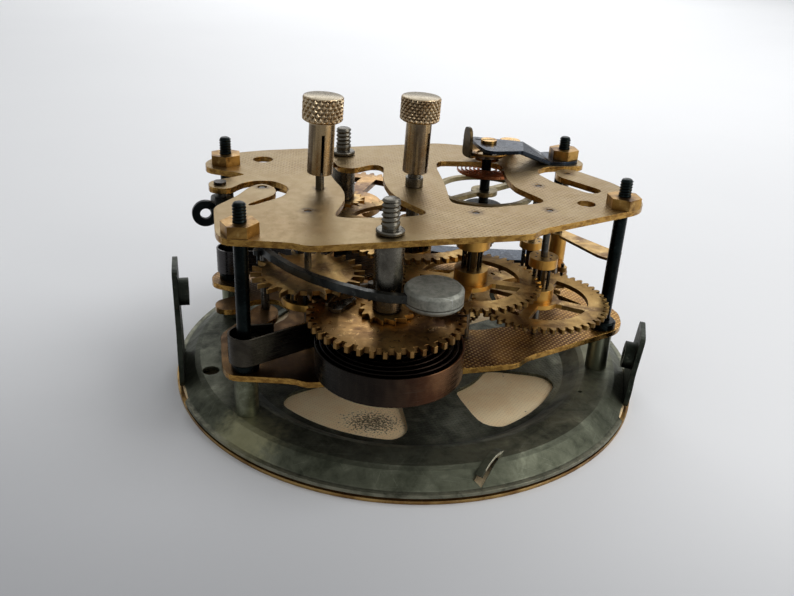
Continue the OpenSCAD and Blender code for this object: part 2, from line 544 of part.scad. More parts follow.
module third_wheel() color(gold) lift() {
  small_wheel(c3, ang(c3, ce), third_n, r_3, q_e, z_3, 3.6, 8.8, 62);
  lantern(c3, ang(c3, c2), small_pn, q_3, tr_s, z_3 + t_w - e, z_3 + 3.1, 24.4, 26.1, 2.5, 0.74, 0.62);
}
module third_trundles() color(steel) lift() trundles(c3, ang(c3, c2), small_pn, q_3, tr_s, z_3 + 2.41, 26.1);
module third_arbor() color(steel) lift() arbor(c3, 0.61);
module escape_wheel() color(gold) lift() {
  slab(z_e, z_e + t_e) difference() {
    at(ce) rotate(ang(ce, cp) + 6) polygon(saw(escape_n, escape_r, escape_r - 1.5, 3, 3));
    at(ce) arms(2.4, 4.9, 4, 0.9, 0);
    circ(ce, 0.62, 20);
  }
  lantern(ce, ang(ce, c3), small_pn, q_e, tr_s, z_e + t_e - e, 16.4, 22.4, 23.8, 2.2, 0.74, 0.62);
}
module escape_trundles() color(steel) lift() trundles(ce, ang(ce, c3), small_pn, q_e, tr_s, 15.71, 23.8);
module escape_arbor() color(steel) lift() arbor(ce, 0.61);

// pin lever: hub, lower arm to the two pallet pins, fork and counter tail on top
pin_a = 30;  pin_r = escape_r + 0.42;
function pin(s) = let (a = ang(ce, cp)) ce + pin_r * [cos(a + s * pin_a), sin(a + s * pin_a)];
module pallet_lever() color(gold) lift() difference() {
  union() {
    cyl(cp, 16.4, 22.4, 1.7, 30);
    for (s = [-1, 1]) slab(16.4, 17.3) union() { polygon(strip([cp, pin(s)], 1.5)); circ(pin(s), 0.9, 24); }
    slab(21.9, 22.4) {
      u = (cb - cp) / norm(cb - cp);  v = [-u[1], u[0]];  f = norm(cb - cp) - 3.95;
      polygon([cp + v * 1.4, cp - v * 1.4, cp + u * (f - 3) - v * 0.7, cp + u * (f - 1.6) - v * 1.5, cp + u * f - v * 1.4, cp + u * (f - 0.3) - v * 0.45,
        cp + u * (f - 1.7) - v * 0.45, cp + u * (f - 1.7) + v * 0.45, cp + u * (f - 0.3) + v * 0.45, cp + u * f + v * 1.4, cp + u * (f - 1.6) + v * 1.5, cp + u * (f - 3) + v * 0.7]);
      polygon(rnd([cp + [1.4, 0.9], cp + [-0.9, -1.3], cp + [1.9, -12.6], cp + [3.2, -14.4], cp + [7.6, -11.9], cp + [5.6, -9.6]], 0.8));
    }
  }
  cyl(cp, 15, 24, 0.62, 20);
  for (s = [-1, 1]) cyl(pin(s), 15, 19, 0.31, 16);
}
module pallet_pins() color(dark) lift() for (s = [-1, 1]) cyl(pin(s), 14.2, 17.9, 0.3, 16);
module pallet_arbor() color(steel) lift() arbor(cp, 0.61);

module balance_wheel() color(gold) lift() slab(z_bw, z_bw + 0.9) difference() {
  circ(cb, balance_r, 80);
  difference() { circ(cb, balance_r - 1.1, 80); at(cb) rotate(24) square([2 * balance_r, 1.3], center = true); circ(cb, 2.7, 36); }
  circ(cb, 1.02, 30);
}
module balance_staff() color(dark) lift() {
  cyl(cb, z_lb + 1.55, b1 + 1.55, 1, 36);
  cyl(cb, z_lb + 0.5, b1 + 2.6, 0.25, 20);
  translate([cb[0], cb[1], z_lb + 1.15]) cylinder(r1 = 0.3, r2 = 1, h = 0.4 + e, $fn = 24);
  translate([cb[0], cb[1], b1 + 1.55 - e]) cylinder(r1 = 1, r2 = 0.3, h = 0.4, $fn = 24);
  // roller and impulse pin
  cyl(cb, 24.2, 25, 3.9, 36);
  translate([0, 0, 0]) let (u = (cp - cb) / norm(cp - cb)) cyl(cb + u * 3.4, 21.4, 24.3, 0.35, 16);
}

module alarm_escape_wheel() color(gold) lift() {
  slab(z_aw, z_aw + t_w) difference() {
    at(ca) rotate(ang(ca, ch) - 24 + 7.5) polygon(saw(strike_n, strike_r, strike_r - 1.9, 3.3, 0));
    circ(ca, 0.62, 20);
  }
  lantern(ca, ang(ca, wf), alarm_pn, q_a, tr_a, 18.2, 19.4, z_aw - 1, z_aw + e, 4.6, 1.9, 0.62);
}
module alarm_trundles() color(steel) lift() trundles(ca, ang(ca, wf), alarm_pn, q_a, tr_a, 18.71, z_aw - 0.01);
module alarm_escape_arbor() color(steel) lift() arbor(ca, 0.61);
ver_a = 24;  ver_r = strike_r + 0.5;
function vp(s) = let (a = ang(ca, ch)) ca + ver_r * [cos(a + s * ver_a), sin(a + s * ver_a)];
h_path = [ch + [-0.4, -1], [-28.2, -2.2], [-26.8, -6.6], [-24.6, -11.6], [-21.9, -16],
  [-18.6, -19.9], [-14.8, -23.5], [-11.6, -25.6], [-9.6, -26.2], hh + [-3.4, -0.5]];
module hammer_arm() color(dark) lift() {
  difference() {
    union() {
      cyl(ch, 24.3, 27.4, 1.7, 30);
      for (s = [-1, 1]) slab(24.5, 25.4) union() { polygon(strip([ch, vp(s)], 1.5)); circ(vp(s), 0.85, 24); }
      slab(24.7, 26.1) polygon(strip(h_path, 1.1));
    }
    cyl(ch, 23, 29, 0.82, 30);
  }
  // two pins that ride on the alarm escape wheel
  for (s = [-1, 1]) cyl(vp(s), z_aw - 0.2, 24.6, 0.3, 16);
}
module hammer_arbor() color(steel) lift() arbor(ch, 0.8, f1 + 0.1, b0 - 0.1, 0.55);
module hammer_head() color(zinc) lift() difference() {
  union() {
    translate([hh[0], hh[1], 25.4 - hammer_h / 2]) cylinder(r1 = hammer_r - 0.5, r2 = hammer_r, h = 0.5, $fn = 48);
    cyl(hh, 25.9 - hammer_h / 2 - e, 24.9 + hammer_h / 2, hammer_r, 48);
    translate([hh[0], hh[1], 24.9 + hammer_h / 2 - e]) cylinder(r1 = hammer_r, r2 = hammer_r - 0.5, h = 0.5, $fn = 48);
  }
  slab(24.69, 26.11) polygon(strip([h_path[7], h_path[8], hh + [-3.39, -0.5]], 1.12));
}

// cut pinion with round leaves
module leaf_pinion(p, a, n, rc, rl, core) {
  at(p) rotate(a) {
    circle(r = core, $fn = 36);
    for (i = [0:n - 1]) rotate(i * 360 / n) {
      translate([rc, 0]) circle(r = rl, $fn = 16);
      translate([core - 0.2, -rl * 0.5]) square([rc - core + 0.2, rl]);
    }
  }
}
module alarm_set_arbor() color(steel) lift() {
  cyl(cs, 1.2, 46, 0.75, 30);
  difference() {
    slab(3, 4.6) leaf_pinion(cs, ang(cs, c0), 20, m5, 0.4, m5 - 0.95);
    cyl(cs, 2, 6, 0.7, 30);
  }
  cyl(cs, 4.6 - e, f0 - 0.1, 1.6, 30);
}
module alarm_wheel() color(gold) lift() difference() {
  union() {
    slab(3.4, 4.2) rotate(ang(c0, cs)) polygon(teeth(40, m6, m5, 0.45, 15));
    cyl(c0, z_dial + 0.1, 3.4 + e, 3.3);
  }
  cyl(c0, -4, 6, 2.66);
}
module hour_wheel() color(gold) lift() difference() {
  union() {
    slab(5.2, 6) rotate(ang(c0, cm)) polygon(teeth(40, m4, m3, 0.27, 26));
    cyl(c0, z_dial + 0.1, 5.2 + e, 2.6);
  }
  cyl(c0, -4, 8, 1.86);
}
module cannon_pinion() color(gold) lift() difference() {
  union() {
    slab(6.6, 8.2) leaf_pinion(c0, ang(c0, cm), 12, m1, 0.26, m1 - 0.55);
    cyl(c0, z_dial + 0.1, 6.6 + e, 1.8);
  }
  cyl(c0, -4, 10, 1.22);
}
module minute_wheel() color(gold) lift() difference() {
  union() {
    slab(7, 7.8) at(cm) rotate(ang(cm, c0)) polygon(teeth(36, m2, m1, 0.31, 26));
    slab(4.8, 7 + e) leaf_pinion(cm, ang(cm, c0), 10, m3, 0.22, m3 - 0.5);
  }
  cyl(cm, 3, 9, 0.72, 24);
}
module centre_arbor() color(steel) lift() {
  cyl(c0, z_dial + 0.1, 46, 1.2, 36);
  cyl(c0, b1 + 0.1, b1 + 1.7, 1.6, 36);
}
// split knob on its shaft
module knob(p, bore, a, d) {
  kt = knob_top + d;
  difference() {
    union() {
      cyl(p, 37.1 + d, kt - knob_h + e, knob_stem_r, 40);
      cyl(p, kt - knob_h, kt - 0.5, knob_r, 60);
      translate([p[0], p[1], kt - 0.5 - e]) cylinder(r1 = knob_r, r2 = knob_r - 0.5, h = 0.5 + e, $fn = 60);
    }
    cyl(p, 30, 46.01, bore, 30);
    at(p, 36) rotate(a) translate([0, -0.25, 0]) cube([4, 0.5, 9]);
  }
}
module hand_knob() color([0.7, 0.66, 0.6]) lift() knob(c0, 1.21, -50, 0);
module alarm_knob() color([0.7, 0.66, 0.6]) lift() knob(cs, 0.76, -95, 0.4);

base_plate();
side_tabs();
dial_plate();
dial_card();
dial_posts();
front_plate();
back_plate();
pillars();
pillar_nuts();
balance_bridge_upper();
balance_bridge_lower();
balance_screws();
regulator();
hairspring();
hairspring_stud();
alarm_stop_lever();
stop_lever_rivet();
minute_stud();
going_mainspring();
going_great_wheel();
going_winding_arbor();
going_ratchet();
going_click();
going_click_spring();
centre_wheel();
centre_trundles();
second_wheel();
second_arbor();
second_trundles();
third_wheel();
third_arbor();
third_trundles();
escape_wheel();
escape_arbor();
escape_trundles();
pallet_lever();
pallet_arbor();
pallet_pins();
balance_wheel();
balance_staff();
alarm_mainspring();
alarm_great_wheel();
alarm_winding_arbor();
alarm_ratchet();
alarm_click();
alarm_click_spring();
alarm_escape_wheel();
alarm_escape_arbor();
alarm_trundles();
hammer_arm();
hammer_arbor();
hammer_head();
alarm_set_arbor();
alarm_wheel();
alarm_knob();
hand_knob();
centre_arbor();
cannon_pinion();
minute_wheel();
hour_wheel();
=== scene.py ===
import math
import bpy
import bmesh
from mathutils import Matrix, Vector


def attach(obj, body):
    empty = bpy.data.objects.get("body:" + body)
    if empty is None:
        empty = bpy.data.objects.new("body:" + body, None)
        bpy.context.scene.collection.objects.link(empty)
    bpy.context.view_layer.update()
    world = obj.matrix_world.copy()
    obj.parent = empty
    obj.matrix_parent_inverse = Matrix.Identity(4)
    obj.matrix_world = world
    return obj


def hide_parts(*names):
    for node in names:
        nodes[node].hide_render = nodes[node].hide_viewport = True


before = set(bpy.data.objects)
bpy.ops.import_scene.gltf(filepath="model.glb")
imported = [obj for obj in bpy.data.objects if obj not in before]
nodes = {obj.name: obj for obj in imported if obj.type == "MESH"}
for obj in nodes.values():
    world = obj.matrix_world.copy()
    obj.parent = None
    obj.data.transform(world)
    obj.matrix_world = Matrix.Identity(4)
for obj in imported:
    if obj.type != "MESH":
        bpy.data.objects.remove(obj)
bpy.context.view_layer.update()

scene = bpy.context.scene
MM = 0.001
LIFT = 1.7          # heights below are counted from the dish rim, the frame's floor is the dial

# ------------------------------------------------------------------ camera
A = math.radians(18)


def toobj(v):
    x, y, z = v
    return Vector((x * math.cos(A) + y * math.sin(A), -x * math.sin(A) + y * math.cos(A), z))


th, ro = math.radians(26.0257), math.radians(2.8396)
fwd = Vector((0, math.cos(th), -math.sin(th)))
right = Vector((1, 0, 0))
up = right.cross(fwd)
r2 = math.cos(ro) * right + math.sin(ro) * up
u2 = -math.sin(ro) * right + math.cos(ro) * up
r2, u2, fw = toobj(r2), toobj(u2), toobj(fwd)
cam_pos = toobj((-2.0518, -144.149, 82.2068)) + Vector((0, 0, LIFT))
cam_data = bpy.data.cameras.new("photo_camera")
cam_data.sensor_fit = "HORIZONTAL"
cam_data.sensor_width = 36
cam_data.lens = 830.365 * 36 / 794
cam_data.clip_start = 0.005
cam_data.clip_end = 20
cam = bpy.data.objects.new("photo_camera", cam_data)
scene.collection.objects.link(cam)
cam.matrix_world = Matrix((
    (r2.x, u2.x, -fw.x, cam_pos.x * MM),
    (r2.y, u2.y, -fw.y, cam_pos.y * MM),
    (r2.z, u2.z, -fw.z, cam_pos.z * MM),
    (0, 0, 0, 1)))
scene.camera = cam
scene.view_settings.view_transform = "Standard"
scene.view_settings.look = "None"


# ------------------------------------------------------------------ node tree helper
class Tree:
    def __init__(self, name):
        self.mat = bpy.data.materials.new(name)
        self.mat.use_nodes = True
        self.nt = self.mat.node_tree
        self.nt.nodes.clear()
        self.out = self.nt.nodes.new("ShaderNodeOutputMaterial")
        self.bsdf = self.nt.nodes.new("ShaderNodeBsdfPrincipled")
        self.nt.links.new(self.bsdf.outputs[0], self.out.inputs[0])
        self.tc = self.nt.nodes.new("ShaderNodeTexCoord")
        self.geo = self.nt.nodes.new("ShaderNodeNewGeometry")
        self.P = self.vmath("SCALE", self.tc.outputs["Object"], s=1000.0)

    def put(self, sock, v):
        if isinstance(v, bpy.types.NodeSocket):
            self.nt.links.new(v, sock)
        elif v is not None:
            sock.default_value = v

    def math(self, op, a, b=None, c=None, clamp=False):
        n = self.nt.nodes.new("ShaderNodeMath")
        n.operation = op
        n.use_clamp = clamp
        self.put(n.inputs[0], a)
        self.put(n.inputs[1], b)
        self.put(n.inputs[2], c)
        return n.outputs[0]

    def vmath(self, op, a, b=None, s=None):
        n = self.nt.nodes.new("ShaderNodeVectorMath")
        n.operation = op
        self.put(n.inputs[0], a)
        self.put(n.inputs[1], b)
        if s is not None:
            self.put(n.inputs["Scale"], s)
        return n.outputs["Value"] if op in ("LENGTH", "DISTANCE", "DOT_PRODUCT") else n.outputs[0]

    def scale3(self, v, xyz):
        return self.vmath("MULTIPLY", v, xyz)

    def turn(self, v, deg, axis="Z_AXIS"):
        n = self.nt.nodes.new("ShaderNodeVectorRotate")
        n.rotation_type = axis
        self.put(n.inputs["Vector"], v)
        n.inputs["Angle"].default_value = math.radians(deg)
        return n.outputs[0]

    def xyz(self, v):
        n = self.nt.nodes.new("ShaderNodeSeparateXYZ")
        self.put(n.inputs[0], v)
        return n.outputs

    def noise(self, v, scale, detail=5.0, rough=0.55, dist=0.0):
        n = self.nt.nodes.new("ShaderNodeTexNoise")
        self.put(n.inputs["Vector"], v)
        n.inputs["Scale"].default_value = scale
        n.inputs["Detail"].default_value = detail
        n.inputs["Roughness"].default_value = rough
        n.inputs["Distortion"].default_value = dist
        return n.outputs[0]

    def voronoi(self, v, scale, feature="F1", rand=1.0):
        n = self.nt.nodes.new("ShaderNodeTexVoronoi")
        n.feature = feature
        self.put(n.inputs["Vector"], v)
        n.inputs["Scale"].default_value = scale
        n.inputs["Randomness"].default_value = rand
        return n.outputs["Distance"]

    def ramp(self, f, lo, hi, a=0.0, b=1.0, smooth=True):
        n = self.nt.nodes.new("ShaderNodeMapRange")
        n.interpolation_type = "SMOOTHSTEP" if smooth else "LINEAR"
        n.clamp = True
        self.put(n.inputs["Value"], f)
        n.inputs["From Min"].default_value = lo
        n.inputs["From Max"].default_value = hi
        n.inputs["To Min"].default_value = a
        n.inputs["To Max"].default_value = b
        return n.outputs[0]

    def mix(self, f, a, b):
        n = self.nt.nodes.new("ShaderNodeMix")
        n.data_type = "RGBA"
        self.put(n.inputs[0], f)
        for k, v in ((6, a), (7, b)):
            if isinstance(v, (tuple, list)):
                v = (*v[:3], 1.0)
            self.put(n.inputs[k], v)
        return n.outputs[2]

    def bump(self, h, dist_mm, strength=1.0, normal=None):
        n = self.nt.nodes.new("ShaderNodeBump")
        n.inputs["Strength"].default_value = strength
        n.inputs["Distance"].default_value = dist_mm * MM
        self.put(n.inputs["Height"], h)
        if normal is not None:
            self.put(n.inputs["Normal"], normal)
        return n.outputs[0]

    def rounded(self, r_mm):
        n = self.nt.nodes.new("ShaderNodeBevel")
        n.samples = 6
        n.inputs["Radius"].default_value = r_mm * MM
        return n.outputs[0]

    def crevice(self, mm):
        """1 in the open, 0 deep in a corner"""
        n = self.nt.nodes.new("ShaderNodeAmbientOcclusion")
        n.samples = 6
        n.only_local = False
        n.inputs["Distance"].default_value = mm * MM
        return n.outputs["AO"]

    def top_face(self):
        """1 where the surface faces straight up or down"""
        nx = self.xyz(self.geo.outputs["Normal"])
        return self.ramp(self.math("ABSOLUTE", nx[2]), 0.8, 0.95)

    def spots(self, pts, r0, r1):
        """1 near any of these plan positions, 0 beyond r1"""
        flat = self.scale3(self.P, (1, 1, 0))
        best = None
        for p in pts:
            d = self.vmath("DISTANCE", flat, (p[0], p[1], 0))
            best = d if best is None else self.math("MINIMUM", best, d)
        wob = self.noise(self.P, 0.8, 3)
        best = self.math("ADD", best, self.math("MULTIPLY", self.math("SUBTRACT", wob, 0.5), r1 * 0.9))
        return self.ramp(best, r0, r1, 1.0, 0.0)

    def near(self, pts, r):
        """1 within r of any of these plan positions"""
        flat = self.scale3(self.P, (1, 1, 0))
        best = None
        for p in pts:
            d = self.vmath("DISTANCE", flat, (p[0], p[1], 0))
            best = d if best is None else self.math("MINIMUM", best, d)
        return self.math("LESS_THAN", best, r)

    def scratches(self, deg, dens=0.66, scale=1.0):
        v = self.turn(self.P, deg)
        v = self.scale3(v, (0.16 * scale, 9.0 * scale, 0.16 * scale))
        f = self.noise(v, 1.0, 2.0, 0.5)
        return self.ramp(f, dens, dens + 0.07)

    def done(self, color, rough, metallic=1.0, normal=None):
        self.put(self.bsdf.inputs["Base Color"], color if isinstance(color, bpy.types.NodeSocket) else (*color, 1.0))
        self.put(self.bsdf.inputs["Roughness"], rough)
        self.put(self.bsdf.inputs["Metallic"], metallic)
        if normal is not None:
            self.put(self.bsdf.inputs["Normal"], normal)
        return self.mat


def srgb(r, g, b):
    f = lambda c: (c / 255 / 12.92) if c / 255 <= 0.04045 else ((c / 255 + 0.055) / 1.055) ** 2.4
    return (f(r), f(g), f(b))


PIVOTS = [(-8, 21.4), (-10.8, -21.6), (6.1, -15.2), (19.2, -16.3), (23.1, -3.6), (32.1, 2.4), (-21.4, -9.6),
          (-26.9, 3.7), (-17.1, 1.2), (0, 0)]
# where the grit lies on the card, in the turned and squeezed plan that its mask uses
GRIT = (-4.3 * 0.72, -24.4 * 1.1, 0)
# lantern cores behind the trundles, painted dark as their shade: axis, radius, bottom and top
CORES = [(0, 0, 2.1, 22.92, 25.08), (6.1, -15.2, 0.95, 24.62, 28.58), (19.2, -16.3, 0.85, 20.32, 24.38),
         (23.1, -3.6, 0.85, 16.42, 22.38), (-21.4, -9.6, 2.0, 19.42, 21.88)]


# ------------------------------------------------------------------ materials
def plate_brass(name, oily):
    """matt stamped brass sheet: embossed diamond dots on its faces, shiny cut edges, oil stains at the pivots"""
    t = Tree(name)
    blot = t.noise(t.P, 0.06, 5, 0.6, 0.6)
    mid = t.noise(t.P, 0.55, 6, 0.62)
    fine = t.noise(t.P, 7.0, 4, 0.6)
    if oily:
        a, b, c = srgb(160, 116, 52), srgb(104, 68, 26), srgb(186, 144, 78)
    else:
        a, b, c = srgb(157, 136, 97), srgb(131, 105, 66), srgb(172, 153, 112)
    col = t.mix(t.ramp(blot, 0.38, 0.66), a, b if oily else srgb(147, 123, 82))
    col = t.mix(t.ramp(mid, 0.52, 0.78, 0, 0.55), col, c)
    col = t.mix(t.ramp(mid, 0.28, 0.44, 0.5, 0.0), col, b)
    x, y, z = t.xyz(t.turn(t.P, 12))
    u = t.math("COSINE", t.math("MULTIPLY", x, 2 * math.pi / 1.06))
    v = t.math("COSINE", t.math("MULTIPLY", y, 2 * math.pi / 1.06))
    dots = t.ramp(t.math("MULTIPLY", u, v), 0.12, 0.8)
    top = t.top_face()
    patch = t.ramp(t.noise(t.P, 0.11, 3), 0.34, 0.6, 0.45, 1.0)
    px, py, pz = t.xyz(t.P)
    side = t.math("MAXIMUM", t.ramp(px, -9, 1), t.ramp(py, 7, 15))
    dots = t.math("MULTIPLY", t.math("MULTIPLY", dots, top), t.math("MULTIPLY", patch, side))
    # dots hold a little dirt on the matt plate; on the oiled plate they are painted bright, a painted highlight where
    # the raised dots catch the light
    col = t.mix(t.math("MULTIPLY", dots, 0.72 if not oily else 0.8), col, srgb(112, 84, 56) if not oily else srgb(250, 206, 126))
    stain = t.math("MULTIPLY", t.spots(PIVOTS, 0.7, 1.9), t.ramp(mid, 0.3, 0.7, 0.25, 0.9))
    col = t.mix(stain, col, srgb(78, 56, 38))
    grime = t.math("MULTIPLY", t.ramp(t.noise(t.P, 1.7, 6, 0.7), 0.60, 0.74), t.ramp(t.noise(t.P, 0.13, 2), 0.45, 0.7))
    col = t.mix(t.math("MULTIPLY", grime, 0.65), col, srgb(92, 70, 50))
    specks = t.ramp(t.voronoi(t.P, 0.75), 0.02, 0.1, 0.8, 0.0)
    col = t.mix(specks, col, srgb(70, 50, 36))
    if oily:
        # the near left end is painted darker: painted shade
        px, py, pz = t.xyz(t.P)
        left_painted_shade = t.math("MULTIPLY", t.ramp(px, -8, -18), t.ramp(mid, 0.3, 0.6, 0.5, 0.8))
        col = t.mix(left_painted_shade, col, srgb(62, 44, 22))
    # cut edges are bare and golden, browned in places
    edge = t.mix(t.ramp(t.noise(t.scale3(t.P, (1, 1, 2.2)), 0.8, 5), 0.42, 0.62), srgb(178, 138, 72), srgb(136, 100, 50))
    col = t.mix(top, edge, col)
    sc = t.math("MAXIMUM", t.scratches(24), t.math("MAXIMUM", t.scratches(-63, 0.7), t.scratches(81, 0.72)))
    rough = t.math("ADD", t.ramp(mid, 0.3, 0.7, 0.29, 0.42) if not oily else t.ramp(mid, 0.3, 0.7, 0.26, 0.42), t.math("MULTIPLY", fine, 0.08))
    rough = t.math("SUBTRACT", rough, t.math("MULTIPLY", t.math("SUBTRACT", 1.0, top), 0.1))
    h = t.math("ADD", t.math("MULTIPLY", dots, -1.0 if not oily else 1.0), t.math("MULTIPLY", fine, 0.30))
    h = t.math("SUBTRACT", h, t.math("MULTIPLY", sc, 0.35))
    n = t.bump(h, 0.035, 0.9, t.rounded(0.12))
    return t.done(col, rough, 1.0, n)


def gear_brass(name, base=(194, 158, 94), dark=(112, 80, 38), light=(228, 198, 130), r=(0.24, 0.4), grain=0.25, edge_gain=0.0, tail=False, teeth=0.0):
    t = Tree(name)
    blot = t.noise(t.P, 0.16, 5, 0.6, 0.8)
    mid = t.noise(t.P, 0.9, 6, 0.65)
    fine = t.noise(t.P, 9.0, 3, 0.6)
    col = t.mix(t.ramp(blot, 0.4, 0.68), srgb(*base), srgb(*dark))
    col = t.mix(t.ramp(mid, 0.54, 0.74, 0, 0.6), col, srgb(*light))
    col = t.mix(t.ramp(mid, 0.26, 0.42, 0.7, 0.0), col, srgb(*dark))
    # painted shade: darker deep in corners and between parts
    deep = t.ramp(t.crevice(1.6), 0.25, 0.8, 0.9, 0.0)
    col = t.mix(deep, col, srgb(dark[0] * 0.5, dark[1] * 0.45, dark[2] * 0.4))
    if edge_gain:
        col = t.mix(t.math("MULTIPLY", t.math("SUBTRACT", 1.0, t.top_face()), edge_gain), col, srgb(*light))
    # tooth flanks away from the hubs are painted dark: painted shade
    side = t.math("SUBTRACT", 1.0, t.top_face())
    hub = t.near(PIVOTS, 4.7)
    col = t.mix(t.math("MULTIPLY", t.math("MULTIPLY", side, t.math("SUBTRACT", 1.0, hub)), teeth), col, srgb(dark[0] * 0.6, dark[1] * 0.52, dark[2] * 0.5))
    col = t.mix(t.math("MULTIPLY", t.math("MULTIPLY", side, hub), 0.7 if teeth else 0.0), col, srgb(206, 154, 72))
    if teeth:
        flat = t.scale3(t.P, (1, 1, 0))
        z = t.xyz(t.P)[2]
        core = None
        for x, y, rc, z0, z1 in CORES:
            m = t.math("MULTIPLY", t.math("LESS_THAN", t.vmath("DISTANCE", flat, (x, y, 0)), rc), t.math("MULTIPLY", t.math("GREATER_THAN", z, z0 + LIFT), t.math("LESS_THAN", z, z1 + LIFT)))
            core = m if core is None else t.math("MAXIMUM", core, m)
        # the cores are painted near black: painted shade behind the trundles
        col = t.mix(t.math("MULTIPLY", core, 0.92), col, srgb(30, 25, 20))
    if tail:
        col = t.mix(t.ramp(t.xyz(t.P)[0], 16.1, 15.8), col, t.mix(t.ramp(mid, 0.35, 0.65), srgb(84, 70, 46), srgb(54, 46, 34)))
    sc = t.math("MAXIMUM", t.scratches(40, 0.68), t.scratches(-28, 0.71))
    rough = t.math("ADD", t.ramp(mid, 0.3, 0.72, r[1], r[0]), t.math("MULTIPLY", fine, 0.06))
    h = t.math("SUBTRACT", t.math("MULTIPLY", fine, grain), t.math("MULTIPLY", sc, 0.5))
    n = t.bump(h, 0.03, 0.8, t.rounded(0.1))
    return t.done(col, rough, 1.0, n)


def steel(name, base, dark, light, r=(0.25, 0.45), rust=0.0, metallic=1.0, grain=0.35, scale=1.0, rnd=0.08, lathe=False, dark_above=None):
    t = Tree(name)
    blot = t.noise(t.P, 0.22 * scale, 5, 0.6, 0.5)
    mid = t.noise(t.P, 1.3 * scale, 6, 0.65)
    fine = t.noise(t.P, 11.0 * scale, 3, 0.6)
    col = t.mix(t.ramp(blot, 0.4, 0.66), srgb(*base), srgb(*dark))
    col = t.mix(t.ramp(mid, 0.56, 0.76, 0, 0.7), col, srgb(*light))
    if rust:
        ru = t.ramp(t.noise(t.P, 2.1, 8, 0.75), 0.58, 0.7, 0, rust)
        col = t.mix(ru, col, srgb(104, 62, 34))
    if dark_above:
        col = t.mix(t.ramp(t.xyz(t.P)[2], dark_above, dark_above + 0.3), col, t.mix(t.ramp(mid, 0.4, 0.6), srgb(58, 48, 38), srgb(30, 26, 22)))
    rough = t.math("ADD", t.ramp(mid, 0.3, 0.7, r[1], r[0]), t.math("MULTIPLY", fine, 0.08))
    h = t.math("MULTIPLY", fine, grain)
    if lathe:
        turned = t.noise(t.scale3(t.P, (0.2, 0.2, 14.0)), 1.0, 2)
        h = t.math("ADD", h, t.math("MULTIPLY", turned, 0.6))
    n = t.bump(h, 0.02, 0.8, t.rounded(rnd))
    return t.done(col, rough, metallic, n)


def zinc(name):
    """pressed sheet with clouded dark passivation, painted highlights on the crown of the ring, rubbed bright along its
    rim
    """
    t = Tree(name)
    x, y, z = t.xyz(t.P)
    rad = t.vmath("LENGTH", t.scale3(t.P, (1, 1, 0)))
    cloud = t.noise(t.P, 0.075, 6, 0.6, 1.2)
    mid = t.noise(t.P, 0.42, 7, 0.66, 0.4)
    fine = t.noise(t.P, 6.5, 4, 0.65)
    g = t.math("ADD", t.math("MULTIPLY", cloud, 0.6), t.math("MULTIPLY", mid, 0.4))
    col = t.mix(t.ramp(g, 0.36, 0.6), srgb(50, 52, 42), srgb(98, 100, 85))
    col = t.mix(t.ramp(g, 0.55, 0.72, 0, 0.8), col, srgb(146, 148, 128))
    col = t.mix(t.ramp(t.noise(t.P, 0.2, 4), 0.56, 0.7, 0, 0.45), col, srgb(86, 88, 72))
    # darker band where the ring starts
    band = t.ramp(t.math("ABSOLUTE", t.math("SUBTRACT", rad, 32.2)), 0.4, 2.6, 0.6, 0.0)
    col = t.mix(band, col, srgb(34, 38, 34))
    # the outer slope is painted darker: painted shade
    slope = t.math("MULTIPLY", t.ramp(rad, 39.2, 40.4), t.ramp(rad, 43.3, 42.7))
    col = t.mix(t.math("MULTIPLY", slope, 0.35), col, srgb(58, 62, 48))
    # painted highlights: light patches on the ring
    col = t.mix(t.math("MULTIPLY", t.spots([(-34.4, -23.0)], 1.5, 8.5), 0.6), col, srgb(170, 166, 128))
    col = t.mix(t.math("MULTIPLY", t.spots([(25.0, -21.0), (33.5, -12.0)], 1.0, 8.0), 0.4), col, srgb(150, 146, 118))
    rim = t.ramp(rad, 43.0, 43.7)
    low = t.ramp(z, 2.6, 1.8)
    rim = t.math("MULTIPLY", rim, low)
    col = t.mix(t.math("MULTIPLY", rim, t.ramp(mid, 0.35, 0.6, 0.1, 0.7)), col, srgb(140, 138, 120))
    # the lanced tongue's sheared flank is bare: it is the only upright face near this spot
    nz = t.math("ABSOLUTE", t.xyz(t.geo.outputs["Normal"])[2])
    bare = t.math("MULTIPLY", t.near([(2.6, -38.6)], 4.2), t.ramp(nz, 0.15, 0.3, 1.0, 0.0))
    col = t.mix(bare, col, srgb(226, 220, 200))
    rust = t.math("MULTIPLY", t.ramp(t.noise(t.P, 1.5, 8, 0.75), 0.6, 0.72), t.ramp(t.noise(t.P, 0.12, 3), 0.5, 0.66, 0.1, 0.85))
    col = t.mix(rust, col, srgb(96, 66, 44))
    u = t.math("COSINE", t.math("MULTIPLY", t.xyz(t.turn(t.P, 40))[0], 2 * math.pi / 0.9))
    v = t.math("COSINE", t.math("MULTIPLY", t.xyz(t.turn(t.P, 40))[1], 2 * math.pi / 0.9))
    flat = t.math("MULTIPLY", t.ramp(rad, 30.5, 31.2, 1.0, 0.0), t.ramp(z, 3.0, 2.4))
    dots = t.math("MULTIPLY", t.ramp(t.math("MULTIPLY", u, v), 0.3, 0.95), flat)
    col = t.mix(t.math("MULTIPLY", dots, 0.4), col, srgb(38, 44, 38))
    sc = t.math("MAXIMUM", t.scratches(15, 0.66, 0.8), t.math("MAXIMUM", t.scratches(-50, 0.68, 0.7), t.scratches(70, 0.69, 0.9)))
    col = t.mix(t.math("MULTIPLY", sc, 0.16), col, srgb(140, 144, 130))
    rough = t.math("ADD", t.ramp(g, 0.35, 0.65, 0.52, 0.36), t.math("MULTIPLY", fine, 0.1))
    h = t.math("ADD", t.math("MULTIPLY", fine, 0.5), t.math("MULTIPLY", mid, 1.6))
    h = t.math("SUBTRACT", h, t.math("ADD", dots, t.math("MULTIPLY", sc, 0.4)))
    n = t.bump(h, 0.045, 0.8, t.rounded(0.15))
    return t.done(col, rough, 0.92, n)


